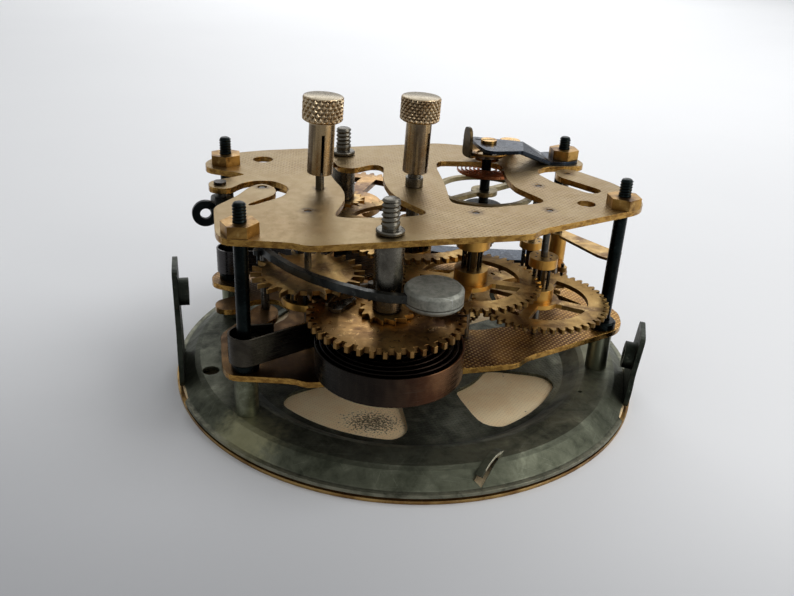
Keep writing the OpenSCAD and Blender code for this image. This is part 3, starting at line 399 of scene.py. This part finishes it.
def card(name):
    t = Tree(name)
    mid = t.noise(t.P, 0.3, 6, 0.6)
    fib = t.noise(t.scale3(t.turn(t.P, 30), (1, 3.5, 1)), 3.0, 5, 0.7)
    col = t.mix(t.ramp(mid, 0.35, 0.65), srgb(255, 232, 188), srgb(250, 220, 172))
    col = t.mix(t.ramp(fib, 0.5, 0.7, 0, 0.35), col, srgb(182, 152, 118))
    x, y, z = t.xyz(t.turn(t.P, 5))
    u = t.math("COSINE", t.math("MULTIPLY", x, 2 * math.pi / 0.8))
    v = t.math("COSINE", t.math("MULTIPLY", y, 2 * math.pi / 0.8))
    dots = t.ramp(t.math("MULTIPLY", u, v), 0.45, 0.95)
    col = t.mix(t.math("MULTIPLY", dots, 0.28), col, srgb(160, 128, 96))
    specks = t.math("MULTIPLY", t.ramp(t.voronoi(t.P, 0.5), 0.03, 0.12, 0.85, 0.0), t.ramp(t.noise(t.P, 0.16, 2), 0.5, 0.6))
    col = t.mix(specks, col, srgb(60, 44, 34))
    # a spill of dark grit where the alarm spring has shed its grease
    spill = t.ramp(t.vmath("DISTANCE", t.scale3(t.turn(t.P, 20), (0.72, 1.1, 0)), GRIT), 0.5, 7.5, 0.19, -0.07)
    grit = t.ramp(t.math("ADD", t.noise(t.scale3(t.P, (1, 1, 0)), 2.4, 5, 0.7), spill), 0.62, 0.68)
    col = t.mix(t.math("MULTIPLY", grit, 0.88), col, srgb(34, 28, 22))
    h = t.math("SUBTRACT", t.math("MULTIPLY", fib, 0.7), dots)
    n = t.bump(h, 0.04, 0.7)
    return t.done(col, t.ramp(fib, 0.3, 0.7, 0.72, 0.9), 0.0, n)


def nickel(name):
    t = Tree(name)
    blot = t.noise(t.P, 0.35, 5, 0.6, 0.5)
    mid = t.noise(t.P, 1.6, 6, 0.66)
    fine = t.noise(t.P, 10.0, 3, 0.6)
    col = t.mix(t.ramp(blot, 0.4, 0.7), srgb(208, 188, 156), srgb(170, 143, 108))
    col = t.mix(t.ramp(mid, 0.6, 0.78, 0, 0.4), col, srgb(150, 122, 90))
    band = t.noise(t.scale3(t.P, (0.75, 0.75, 0.03)), 1.0, 3, 0.5)
    low = t.ramp(t.xyz(t.P)[2], 48.3, 47.9)
    cap = t.math("MULTIPLY", t.top_face(), t.ramp(t.xyz(t.P)[2], 51.6, 52.0))
    col = t.mix(t.math("MULTIPLY", cap, 0.8), col, t.mix(t.ramp(mid, 0.4, 0.6), srgb(156, 146, 122), srgb(134, 124, 102)))
    # the stem gets vertical light and dark bands: painted reflections of a polished shaft
    stem = t.mix(t.ramp(band, 0.44, 0.56), srgb(176, 150, 108), srgb(70, 56, 42))
    col = t.mix(t.math("MULTIPLY", low, 0.75), col, stem)
    deep = t.ramp(t.crevice(0.35), 0.3, 0.85, 0.8, 0.0)
    col = t.mix(deep, col, srgb(44, 32, 24))
    streak = t.noise(t.scale3(t.P, (5.5, 5.5, 0.35)), 1.0, 3)
    rough = t.math("ADD", t.ramp(mid, 0.3, 0.7, 0.18, 0.32), t.math("MULTIPLY", fine, 0.06))
    h = t.math("ADD", t.math("MULTIPLY", fine, 0.35), t.math("MULTIPLY", streak, 0.4))
    n = t.bump(h, 0.02, 0.7, t.rounded(0.06))
    return t.done(col, rough, 1.0, n)


def spring_strip(name, base, dark, light, r, c=(0, 0), warm=None, x0=-22, x1=-4):
    """tempered strip: fine lengthwise marks, heat tint that warms towards one side, black oiled inner coils"""
    t = Tree(name)
    long = t.noise(t.scale3(t.P, (0.2, 0.2, 5.0)), 1.0, 4, 0.6)
    blot = t.noise(t.P, 0.12, 4, 0.6, 0.6)
    mid = t.noise(t.P, 1.4, 6, 0.65)
    px, py, pz = t.xyz(t.P)
    col = t.mix(t.ramp(blot, 0.4, 0.64), srgb(*base), srgb(*dark))
    if warm:
        col = t.mix(t.ramp(px, x0, x1), col, t.mix(t.ramp(blot, 0.4, 0.6), srgb(*warm), srgb(warm[0] * 0.7, warm[1] * 0.6, warm[2] * 0.55)))
    col = t.mix(t.ramp(mid, 0.6, 0.8, 0, 0.35), col, srgb(*light))
    col = t.mix(t.ramp(long, 0.6, 0.72, 0, 0.3), col, srgb(*light))
    rad = t.vmath("DISTANCE", t.scale3(t.P, (1, 1, 0)), (c[0], c[1], 0))
    col = t.mix(t.ramp(rad, 11.75, 12.05, 0.9, 0.0), col, srgb(30, 27, 26))
    rough = t.math("ADD", t.ramp(long, 0.3, 0.7, r[0], r[1]), t.math("MULTIPLY", mid, 0.08))
    n = t.bump(t.math("ADD", t.math("MULTIPLY", long, 0.6), t.math("MULTIPLY", mid, 0.3)), 0.02, 0.7)
    return t.done(col, rough, 1.0, n)


def cast_grey(name):
    t = Tree(name)
    mid = t.noise(t.P, 0.7, 7, 0.68, 0.5)
    fine = t.noise(t.P, 5.0, 5, 0.7)
    pits = t.ramp(t.voronoi(t.P, 2.2), 0.05, 0.22, 1.0, 0.0)
    col = t.mix(t.ramp(mid, 0.38, 0.64), srgb(150, 150, 140), srgb(122, 123, 114))
    col = t.mix(t.ramp(fine, 0.58, 0.72, 0, 0.5), col, srgb(166, 167, 156))
    zs = [c[2] / MM for c in nodes["hammer_head"].bound_box]
    seam = min(zs) + 0.3 * (max(zs) - min(zs))
    line = t.ramp(t.math("ABSOLUTE", t.math("SUBTRACT", t.xyz(t.P)[2], seam)), 0.05, 0.16, 1.0, 0.0)
    col = t.mix(t.math("MULTIPLY", line, 0.75), col, srgb(52, 50, 42))
    col = t.mix(t.math("MULTIPLY", pits, 0.5), col, srgb(86, 84, 78))
    sc = t.math("MAXIMUM", t.scratches(10, 0.66), t.scratches(62, 0.68))
    col = t.mix(t.math("MULTIPLY", sc, 0.4), col, srgb(190, 192, 192))
    h = t.math("SUBTRACT", t.math("ADD", t.math("MULTIPLY", mid, 1.2), t.math("MULTIPLY", fine, 0.6)), t.math("ADD", pits, t.math("MULTIPLY", line, 2.0)))
    n = t.bump(h, 0.05, 0.8, t.rounded(0.3))
    return t.done(col, t.ramp(mid, 0.3, 0.7, 0.5, 0.66), 0.75, n)


M = {
    "plate_back": plate_brass("plate_brass_matt", False),
    "plate_front": plate_brass("plate_brass_oiled", True),
    "gear": gear_brass("gear_brass", teeth=0.6),
    "gear_rich": gear_brass("gear_brass_rich", (190, 148, 88), (104, 70, 36), (220, 182, 116), (0.22, 0.36), teeth=0.5),
    "regulator": gear_brass("regulator_brass", (196, 156, 92), (112, 78, 40), (230, 192, 126), (0.2, 0.34), tail=True),
    "balance": gear_brass("balance_brass", (152, 138, 102), (98, 86, 58), (188, 174, 134), (0.28, 0.44)),
    "collet": gear_brass("collet_brass", (214, 170, 92), (140, 96, 46), (238, 202, 130), (0.14, 0.26), 0.15),
    "nut": gear_brass("nut_brass", (178, 138, 74), (98, 68, 34), (214, 178, 112), (0.24, 0.4), 0.3),
    "dial": gear_brass("dial_brass", (198, 164, 104), (140, 104, 60), (222, 192, 140), (0.3, 0.44), 0.3),
    "zinc": zinc("zinc_sheet"),
    # side tabs: a darker copy of the sheet colour, painted shade on faces turned from the light
    "tabs": steel("tab_zinc_painted_shade", (58, 62, 54), (34, 38, 32), (104, 108, 96), (0.3, 0.5), 0.35),
    "card": card("card_board"),
    "black": steel("blackened_steel", (30, 34, 34), (16, 20, 20), (62, 68, 66), (0.24, 0.4), 0.15),
    "pillar": steel("pillar_steel", (26, 32, 32), (14, 18, 18), (48, 56, 54), (0.2, 0.34), 0.1),
    "post": steel("post_steel", (134, 137, 116), (94, 96, 78), (176, 178, 156), (0.24, 0.38), 0.2, lathe=True),
    "arbor": steel("arbor_steel", (120, 118, 112), (70, 68, 64), (176, 172, 160), (0.2, 0.34), 0.25, lathe=True, dark_above=35.6),
    "oiled": steel("oiled_steel", (112, 108, 98), (84, 80, 72), (150, 144, 130), (0.17, 0.27), 0.1, lathe=True),
    "trundle": steel("trundle_steel", (40, 39, 37), (18, 18, 18), (84, 80, 72), (0.12, 0.24), 0.1, lathe=True),
    "blued": steel("blued_steel", (50, 58, 70), (32, 38, 48), (88, 98, 110), (0.2, 0.34), 0.12),
    "copper": steel("hairspring_copper", (176, 112, 74), (120, 72, 46), (206, 146, 100), (0.22, 0.36)),
    "spring_g": spring_strip("spring_grey", (72, 70, 70), (46, 44, 46), (108, 104, 100), (0.16, 0.3), (-8.8, 23.0)),
    "spring_b": spring_strip("spring_brown", (76, 71, 62), (52, 48, 42), (112, 102, 88), (0.18, 0.32), (-11.3, -25.0), (116, 80, 52)),
    "head": cast_grey("hammer_grey"),
    "arm": steel("arm_steel", (66, 68, 66), (40, 42, 42), (108, 110, 106), (0.22, 0.36), 0.1),
    "nickel": nickel("knob_nickel"),
    "lug": steel("boss_steel", (70, 66, 58), (40, 38, 34), (118, 108, 92), (0.3, 0.5), 0.5),
}

USE = {
    "base_plate": "zinc", "side_tabs": "tabs", "dial_plate": "dial", "dial_card": "card", "dial_posts": "post",
    "front_plate": "plate_front", "back_plate": "plate_back", "pillars": "pillar", "pillar_nuts": "nut",
    "balance_bridge_upper": "blued", "balance_bridge_lower": "blued", "balance_screws": "collet", "regulator": "regulator",
    "hairspring": "copper", "hairspring_stud": "collet", "alarm_stop_lever": "black", "stop_lever_rivet": "arbor",
    "minute_stud": "arbor", "going_mainspring": "spring_g", "going_great_wheel": "gear_rich",
    "going_winding_arbor": "oiled", "going_ratchet": "gear", "going_click": "black", "going_click_spring": "arbor",
    "centre_wheel": "gear", "centre_trundles": "trundle", "second_wheel": "gear", "second_arbor": "arbor",
    "second_trundles": "trundle", "third_wheel": "gear", "third_arbor": "arbor", "third_trundles": "trundle",
    "escape_wheel": "gear", "escape_arbor": "arbor", "escape_trundles": "trundle", "pallet_lever": "gear",
    "pallet_arbor": "arbor", "pallet_pins": "black", "balance_wheel": "balance", "balance_staff": "black",
    "alarm_mainspring": "spring_b", "alarm_great_wheel": "gear_rich", "alarm_winding_arbor": "oiled",
    "alarm_ratchet": "nut", "alarm_click": "oiled", "alarm_click_spring": "arbor", "alarm_escape_wheel": "gear",
    "alarm_escape_arbor": "arbor", "alarm_trundles": "trundle", "hammer_arm": "arm", "hammer_arbor": "arbor",
    "hammer_head": "head", "alarm_set_arbor": "oiled", "alarm_wheel": "gear", "alarm_knob": "nickel",
    "hand_knob": "nickel", "centre_arbor": "oiled", "cannon_pinion": "gear", "minute_wheel": "gear", "hour_wheel": "gear",
}
for name, obj in nodes.items():
    obj.data.materials.clear()
    obj.data.materials.append(M[USE.get(name, "zinc")])
    for poly in obj.data.polygons:
        poly.material_index = 0


def smooth_by_angle(obj, deg=32):
    """smooth shading across shallow edges only"""
    me = obj.data
    for poly in me.polygons:
        poly.use_smooth = True
    bm = bmesh.new()
    bm.from_mesh(me)
    lim = math.radians(deg)
    sharp = [len(e.link_faces) != 2 or e.calc_face_angle(0) > lim for e in bm.edges]
    bm.free()
    attr = me.attributes.get("sharp_edge") or me.attributes.new("sharp_edge", "BOOLEAN", "EDGE")
    attr.data.foreach_set("value", sharp)


# ------------------------------------------------------------------ mesh builders (millimetres in, metres out)
def link(name, verts, faces, mat, smooth=True, deg=32):
    me = bpy.data.meshes.new(name)
    me.from_pydata([(x * MM, y * MM, (z + LIFT) * MM) for x, y, z in verts], [], faces)
    me.update()
    me.materials.append(mat)
    ob = bpy.data.objects.new(name, me)
    scene.collection.objects.link(ob)
    if smooth:
        smooth_by_angle(ob, deg)
    return ob


def merge(parts):
    """joins (verts, faces) lists"""
    V, F = [], []
    for v, f in parts:
        o = len(V)
        V += v
        F += [tuple(i + o for i in q) for q in f]
    return V, F


def skin(c, levels, radius, seg=64, bore=None):
    """closed body round a vertical axis: levels are heights, radius(theta, z, k) its radius at each; bore makes a hole through it"""
    V, F = [], []
    n = len(levels)
    for k, z in enumerate(levels):
        for i in range(seg):
            a = 2 * math.pi * i / seg
            r = radius(a, z, k)
            V.append((c[0] + r * math.cos(a), c[1] + r * math.sin(a), z))
    for k in range(n - 1):
        for i in range(seg):
            j = (i + 1) % seg
            F.append((k * seg + i, k * seg + j, (k + 1) * seg + j, (k + 1) * seg + i))
    if bore:
        o = len(V)
        for z in (levels[0], levels[-1]):
            for i in range(seg):
                a = 2 * math.pi * i / seg
                V.append((c[0] + bore * math.cos(a), c[1] + bore * math.sin(a), z))
        for i in range(seg):
            j = (i + 1) % seg
            F.append((o + i, o + j, j, i))
            F.append(((n - 1) * seg + i, (n - 1) * seg + j, o + seg + j, o + seg + i))
            F.append((o + j, o + i, o + seg + i, o + seg + j))
    else:
        b = len(V)
        V.append((c[0], c[1], levels[0]))
        V.append((c[0], c[1], levels[-1]))
        for i in range(seg):
            j = (i + 1) % seg
            F.append((b, j, i))
            F.append((b + 1, (n - 1) * seg + i, (n - 1) * seg + j))
    return V, F


def tri(x):
    x = x - math.floor(x)
    return 1 - abs(2 * x - 1)


def screw_levels(segments, pitch_steps):
    """heights from (z0, z1, step) runs"""
    out = []
    for z0, z1, st in segments:
        n = max(1, round((z1 - z0) / st))
        out += [z0 + (z1 - z0) * i / n for i in range(n + (0))]
    out.append(segments[-1][1])
    return out


def thread_r(a, z, z0, z1, r, depth, pitch, end=0.35):
    """radius on a rounded screw thread that runs in at its lower end"""
    if z <= z0 or z >= z1:
        return r
    ph = (z - z0) / pitch - a / (2 * math.pi)
    groove = tri(ph) ** 1.3
    fade = min(1.0, (z - z0) / pitch, 1.0)
    return r - depth * (1 - groove) * fade


def turned(name, c, runs, mat, seg=48, thread=None, bore=None, deg=40):
    """a turned piece: runs are (z0, r0, z1, r1) from below upwards; thread is (z0, z1, r, depth, pitch)"""
    parts = []
    levels, radii = [], []
    for z0, r0, z1, r1 in runs:
        if thread and z0 >= thread[0] - 1e-6 and z1 <= thread[1] + 1e-6:
            n = max(2, round((z1 - z0) / (thread[4] / 9)))
        else:
            n = 1
        for i in range(n + 1):
            z = z0 + (z1 - z0) * i / n
            levels.append(z)
            radii.append(r0 + (r1 - r0) * i / n)

    def rad(a, z, k):
        if thread and thread[0] - 1e-6 <= z <= thread[1] + 1e-6 and abs(radii[k] - thread[2]) < 0.02:
            return thread_r(a, z, thread[0], thread[1] + 9, thread[2], thread[3], thread[4])
        return radii[k]
    v, f = skin(c, levels, rad, seg, bore)
    ob = link(name, v, f, mat, deg=deg)
    return ob


def join(name, obs):
    for o in bpy.context.selected_objects:
        o.select_set(False)
    for o in obs:
        o.select_set(True)
    bpy.context.view_layer.objects.active = obs[0]
    bpy.ops.object.join()
    obs[0].name = name
    return obs[0]


# ------------------------------------------------------------------ knurled knobs
def lean(verts, c, z0):
    """the split stems sit a little askew on their shafts"""
    a = math.radians(2.4 if c[0] < -1 else 2.0)
    dx, dy = 0.951, -0.309
    out = []
    for x, y, z in verts:
        u = (x - c[0]) * dx + (y - c[1]) * dy
        v = (y - c[1]) * dx - (x - c[0]) * dy
        h = z - z0
        u, h = u * math.cos(a) + h * math.sin(a), h * math.cos(a) - u * math.sin(a)
        out.append((c[0] + u * dx - v * dy, c[1] + u * dy + v * dx, z0 + h))
    return out


def knob(name, node, body, c, bore, slot_deg, pitch_n, rows, zt):
    R, zb = 3.5, zt - 4.4
    zt -= 0.15
    seg = pitch_n * 8
    depth = 0.4
    zs = [zb, zb + 0.12]
    n = rows * 9
    zs += [zb + 0.3 + (zt - zb - 0.5) * i / n for i in range(n + 1)]
    zs += [zt - 0.12, zt - 0.04, zt]
    top = zt - 0.2

    def rad(a, z, k):
        if k == 0:
            return R - 0.42
        if k == 1:
            return R - 0.26
        if z > top:
            return {len(zs) - 3: R - 0.1, len(zs) - 2: R - 0.17, len(zs) - 1: R - 0.26}[k]
        u = a * pitch_n / (2 * math.pi)
        w = (z - zb) * rows / (zt - zb)
        p, q = tri(u + w), tri(u - w)
        h = min(p, q)
        fade = min(1.0, (z - zb - 0.25) / 0.3, (top - z + 0.02) / 0.12)
        return R - depth * (1 - min(1.0, h * 1.9)) * max(0.5, fade)
    v, f = skin(c, zs, rad, seg)
    # the top's centre vertex keeps its height, so the top is flat
    cx, cy, cz = v[-1]
    v[-1] = (cx, cy, cz + 0.0)
    head = link(name + "_head", lean(v, c, zb - 9.25), f, M["nickel"], deg=26)
    # split stem: a tube with one slot from its foot upwards
    ro_, w = 2.25, 0.27
    V, F = [], []
    z0, z1, zc = zb - 9.25, zb + 0.05, 44.7
    bore += 0.36
    n = 56
    a0 = math.radians(slot_deg)
    half = math.asin(w / ro_)
    halfi = math.asin(min(0.99, w / bore))
    outer = [a0 + half + (2 * math.pi - 2 * half) * i / n for i in range(n + 1)]
    inner = [a0 + halfi + (2 * math.pi - 2 * halfi) * i / n for i in range(n + 1)]
    lev = [(z0, 0.12), (z0 + 0.12, 0.0), (zc, 0.0)]
    for z, ch in lev:
        for a in outer:
            V.append((c[0] + (ro_ - ch) * math.cos(a), c[1] + (ro_ - ch) * math.sin(a), z))
        for a in inner:
            V.append((c[0] + bore * math.cos(a), c[1] + bore * math.sin(a), z))
    m = 2 * (n + 1)
    for k in range(2):
        o, p = k * m, (k + 1) * m
        for i in range(n):
            F.append((o + i, o + i + 1, p + i + 1, p + i))
            F.append((o + n + 1 + i + 1, o + n + 1 + i, p + n + 1 + i, p + n + 1 + i + 1))
        F.append((o + n + 1, o, p, p + n + 1))
        F.append((o + n, o + n + 1 + n, p + n + 1 + n, p + n))
    for i in range(n):
        F.append((i + 1, i, n + 1 + i, n + 1 + i + 1))
        F.append((2 * m + i, 2 * m + i + 1, 2 * m + n + 2 + i, 2 * m + n + 1 + i))
    tube = (V, F)
    collar = skin(c, [zc, z1], lambda a, z, k: ro_, 56)
    v, f = merge([tube, collar])
    stem = link(name + "_stem", lean(v, c, zb - 9.25), f, M["nickel"], deg=40)
    ob = join(name, [head, stem])
    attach(ob, body)
    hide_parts(node)
    return ob


knob("alarm_knob_knurled", "alarm_knob", "alarm_set", (-17.1, 1.2), 0.76, -95, 20, 3, 51.15)
knob("hand_knob_knurled", "hand_knob", "hand_set", (0, 0), 1.21, -50, 24, 4, 50.95)

# ------------------------------------------------------------------ threaded pillars and winding arbors
f0, f1, b0, b1 = 9.8, 10.85, 33.55, 34.6
PIL = [(-31.5, 18.7), (-33.4, -17.4), (33.1, -16.7), (35.1, 10.3)]
obs = []
for i, q in enumerate(PIL):
    top = b1 + 5
    nt = b1 + 1.9 + (0.7 if i == 3 else 0) + 0.02
    runs = [(f0 - 3, 1.02, f1, 1.02), (f1, 2.22, f1 + 0.15, 2.3), (f1 + 0.15, 2.3, f1 + 1.2, 2.3), (f1 + 1.2, 2.3, f1 + 1.5, 2.0),
            (f1 + 1.5, 1.15, b0, 1.15), (b0, 0.86, nt, 0.86), (nt, 1.1, top - 0.35, 1.1), (top - 0.35, 0.98, top - 0.1, 0.84),
            (top - 0.1, 0.84, top, 0.66)]
    obs.append(turned("pillar_%d" % i, q, runs, M["pillar"], 40, (nt, top - 0.35, 1.1, 0.14, 0.5)))
ob = join("pillars_threaded", obs)
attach(ob, "movement_frame")
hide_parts("pillars")


def winding(name, node, body, p, zg, t, top):
    runs = [(f0 - 0.4, 1.3, f0 - 0.2, 1.45), (f0 - 0.2, 1.45, f1 + 0.3, 1.45), (f1 + 0.3, 3.3, zg - 0.05, 3.3), (zg - 0.05, 2.0, zg + t + 1.1, 2.0),
            (zg + t + 1.1, 2.4, b0 - 0.1, 2.4), (b0 - 0.1, 1.7, b1 + 0.1, 1.7), (b1 + 0.1, 2.12, b1 + 0.3, 2.3), (b1 + 0.3, 2.3, b1 + 0.62, 2.3),
            (b1 + 0.62, 2.3, b1 + 0.8, 2.1), (b1 + 0.8, 1.34, b1 + 1.5, 1.34), (b1 + 1.5, 1.5, top - 0.35, 1.5), (top - 0.35, 1.42, top - 0.08, 1.2),
            (top - 0.08, 1.2, top, 0.95)]
    ob = turned(name, p, runs, M["oiled"], 56, (b1 + 1.5, top - 0.35, 1.5, 0.27, 0.78))
    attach(ob, body)
    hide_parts(node)


winding("going_winding_thread", "going_winding_arbor", "going_winding", (-8, 21.4), 23.4, 1.2, 40.0)
winding("alarm_winding_thread", "alarm_winding_arbor", "alarm_winding", (-10.8, -21.6), 19.6, 1.1, 40.4)


# ------------------------------------------------------------------ mainsprings with fine coils
def spring(name, node, c, sh, dirn, q, rq, turns, r0, r1, t, z0, w, mat):
    c1 = (c[0] + sh[0], c[1] + sh[1])
    d = math.hypot(q[0] - c1[0], q[1] - c1[1])
    ang = lambda a, b: math.atan2(b[1] - a[1], b[0] - a[0])
    al = ang(c1, q) - dirn * math.acos((r1 + rq) / d)
    pts = []
    n = turns * 48
    for i in range(n + 1):
        u = i / n
        a = al - dirn * 2 * math.pi * turns * (1 - u)
        # coils lie closer together towards the outside and looser near the arbor
        s = u ** 0.8
        r = r0 + (r1 - r0) * s
        wob = 0.05 * math.sin(3 * a + 5 * u)
        pts.append((c[0] + sh[0] * u + (r + wob * math.sin(math.pi * u)) * math.cos(a), c[1] + sh[1] * u + (r + wob * math.sin(math.pi * u)) * math.sin(a)))
    g = al + math.pi
    for k in range(25):
        b = g - dirn * math.radians(k * 8.5)
        pts.append((q[0] + rq * math.cos(b), q[1] + rq * math.sin(b)))
    ge = g - dirn * math.radians(204)
    e = (q[0] + rq * math.cos(ge), q[1] + rq * math.sin(ge))
    for k in (1.6, 3.3, 5.0):
        pts.append((e[0] + k * math.cos(ge - dirn * math.pi / 2), e[1] + k * math.sin(ge - dirn * math.pi / 2)))
    V, F = [], []
    m = len(pts)
    rb = 0.06
    prof = [(-t / 2 + rb, 0), (t / 2 - rb, 0), (t / 2, rb), (t / 2, w - rb), (t / 2 - rb, w), (-t / 2 + rb, w), (-t / 2, w - rb), (-t / 2, rb)]
    for i, p in enumerate(pts):
        a, b = pts[max(i - 1, 0)], pts[min(i + 1, m - 1)]
        L = math.hypot(b[0] - a[0], b[1] - a[1]) or 1
        nx, ny = -(b[1] - a[1]) / L, (b[0] - a[0]) / L
        for s, z in prof:
            V.append((p[0] + nx * s, p[1] + ny * s, z0 + z))
    k = len(prof)
    for i in range(m - 1):
        for j in range(k):
            jj = (j + 1) % k
            F.append((i * k + j, (i + 1) * k + j, (i + 1) * k + jj, i * k + jj))
    F.append(tuple(range(k)))
    F.append(tuple((m - 1) * k + j for j in reversed(range(k))))
    ob = link(name, V, F, mat, deg=40)
    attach(ob, "movement_frame")
    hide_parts(node)
    return ob


spring("going_mainspring_coils", "going_mainspring", (-8, 21.4), (-0.8, 1.6), -1, (-31.5, 18.7), 2.5, 9, 3.6, 12.4, 0.36, 12.4, 5.0, M["spring_g"])
spring("alarm_mainspring_coils", "alarm_mainspring", (-10.8, -21.6), (-0.5, -3.4), 1, (-33.4, -17.4), 2.5, 9, 3.6, 12.4, 0.36, 12.4, 5.0, M["spring_b"])

for name, obj in nodes.items():
    smooth_by_angle(obj)

# broken edges on stamped and turned pieces
for name, w in (("pillar_nuts", 0.16), ("hammer_head", 0.3), ("alarm_great_wheel", 0.2), ("going_great_wheel", 0.16), ("second_wheel", 0.1),
                ("third_wheel", 0.1), ("centre_wheel", 0.1), ("back_plate", 0.1), ("front_plate", 0.1), ("side_tabs", 0.15)):
    mod = nodes[name].modifiers.new("edge", "BEVEL")
    mod.width = w * MM
    mod.segments = 2
    mod.limit_method = "ANGLE"
    mod.angle_limit = math.radians(40)
    mod.use_clamp_overlap = True

# ------------------------------------------------------------------ floor, light
floor_me = bpy.data.meshes.new("floor")
S = 4.0
floor_me.from_pydata([(-S, -S, 0), (S, -S, 0), (S, S, 0), (-S, S, 0)], [], [(0, 1, 2, 3)])
floor = bpy.data.objects.new("floor", floor_me)
scene.collection.objects.link(floor)
floor.location.z = -0.00002
ft = Tree("floor_paper")
fl = ft.noise(ft.P, 0.01, 3)
fx, fy, fz = ft.xyz(ft.P)
# the sheet lies in the falling light of one window, so it greys off towards the near left
fade = ft.ramp(ft.math("SUBTRACT", ft.math("MULTIPLY", fx, -0.75), fy), -5, 122, 0.0, 1.0)
paper = ft.mix(fl, (0.80, 0.805, 0.82), (0.84, 0.845, 0.855))
ft.done(ft.mix(fade, paper, (0.37, 0.375, 0.39)), ft.ramp(ft.noise(ft.P, 0.5, 4), 0.3, 0.7, 0.55, 0.65), 0.0)
floor_me.materials.append(ft.mat)

world = bpy.data.worlds.new("studio")
scene.world = world
world.use_nodes = True
wn = world.node_tree
bg = wn.nodes["Background"]
tc = wn.nodes.new("ShaderNodeTexCoord")
sep = wn.nodes.new("ShaderNodeSeparateXYZ")
wn.links.new(tc.outputs["Generated"], sep.inputs[0])
# bright behind the object, dim behind the camera
bd = toobj((0.25, 1, 0)).normalized()
dot = wn.nodes.new("ShaderNodeVectorMath")
dot.operation = "DOT_PRODUCT"
dot.inputs[1].default_value = (bd.x, bd.y, 0.35)
wn.links.new(tc.outputs["Generated"], dot.inputs[0])
mr = wn.nodes.new("ShaderNodeMapRange")
mr.interpolation_type = "SMOOTHSTEP"
mr.inputs["From Min"].default_value = -0.6
mr.inputs["From Max"].default_value = 1.0
mr.inputs["To Min"].default_value = 0.40
mr.inputs["To Max"].default_value = 0.54
wn.links.new(dot.outputs["Value"], mr.inputs["Value"])
wn.links.new(mr.outputs[0], bg.inputs["Strength"])
bg.inputs["Color"].default_value = (0.97, 0.985, 1.0, 1)


def area(name, pos, target, size, power, color=(1, 1, 1), sy=None):
    d = bpy.data.lights.new(name, "AREA")
    d.energy = power
    d.color = color
    d.shape = "RECTANGLE"
    d.size = size
    d.size_y = sy or size
    o = bpy.data.objects.new(name, d)
    scene.collection.objects.link(o)
    o.location = toobj(pos)
    o.rotation_euler = (toobj(target) - toobj(pos)).to_track_quat("-Z", "Y").to_euler()
    return o


area("window_right", (0.62, 0.10, 0.80), (0.0, 0.0, 0.0), 0.6, 3.5, (0.985, 0.99, 1.0), 0.6)
area("fill_right", (0.46, -0.26, 0.20), (0.02, -0.02, 0.0), 0.32, 0.9, (1.0, 0.975, 0.93), 0.3)
area("backdrop_soft", (0.02, 0.72, 0.30), (0.02, 0.72, 0.0), 0.6, 1.4, (0.99, 0.995, 1.0), 0.4)
area("backdrop_near", (0.11, 0.29, 0.24), (0.11, 0.29, 0.0), 0.4, 0.24, (0.995, 0.995, 1.0), 0.2)
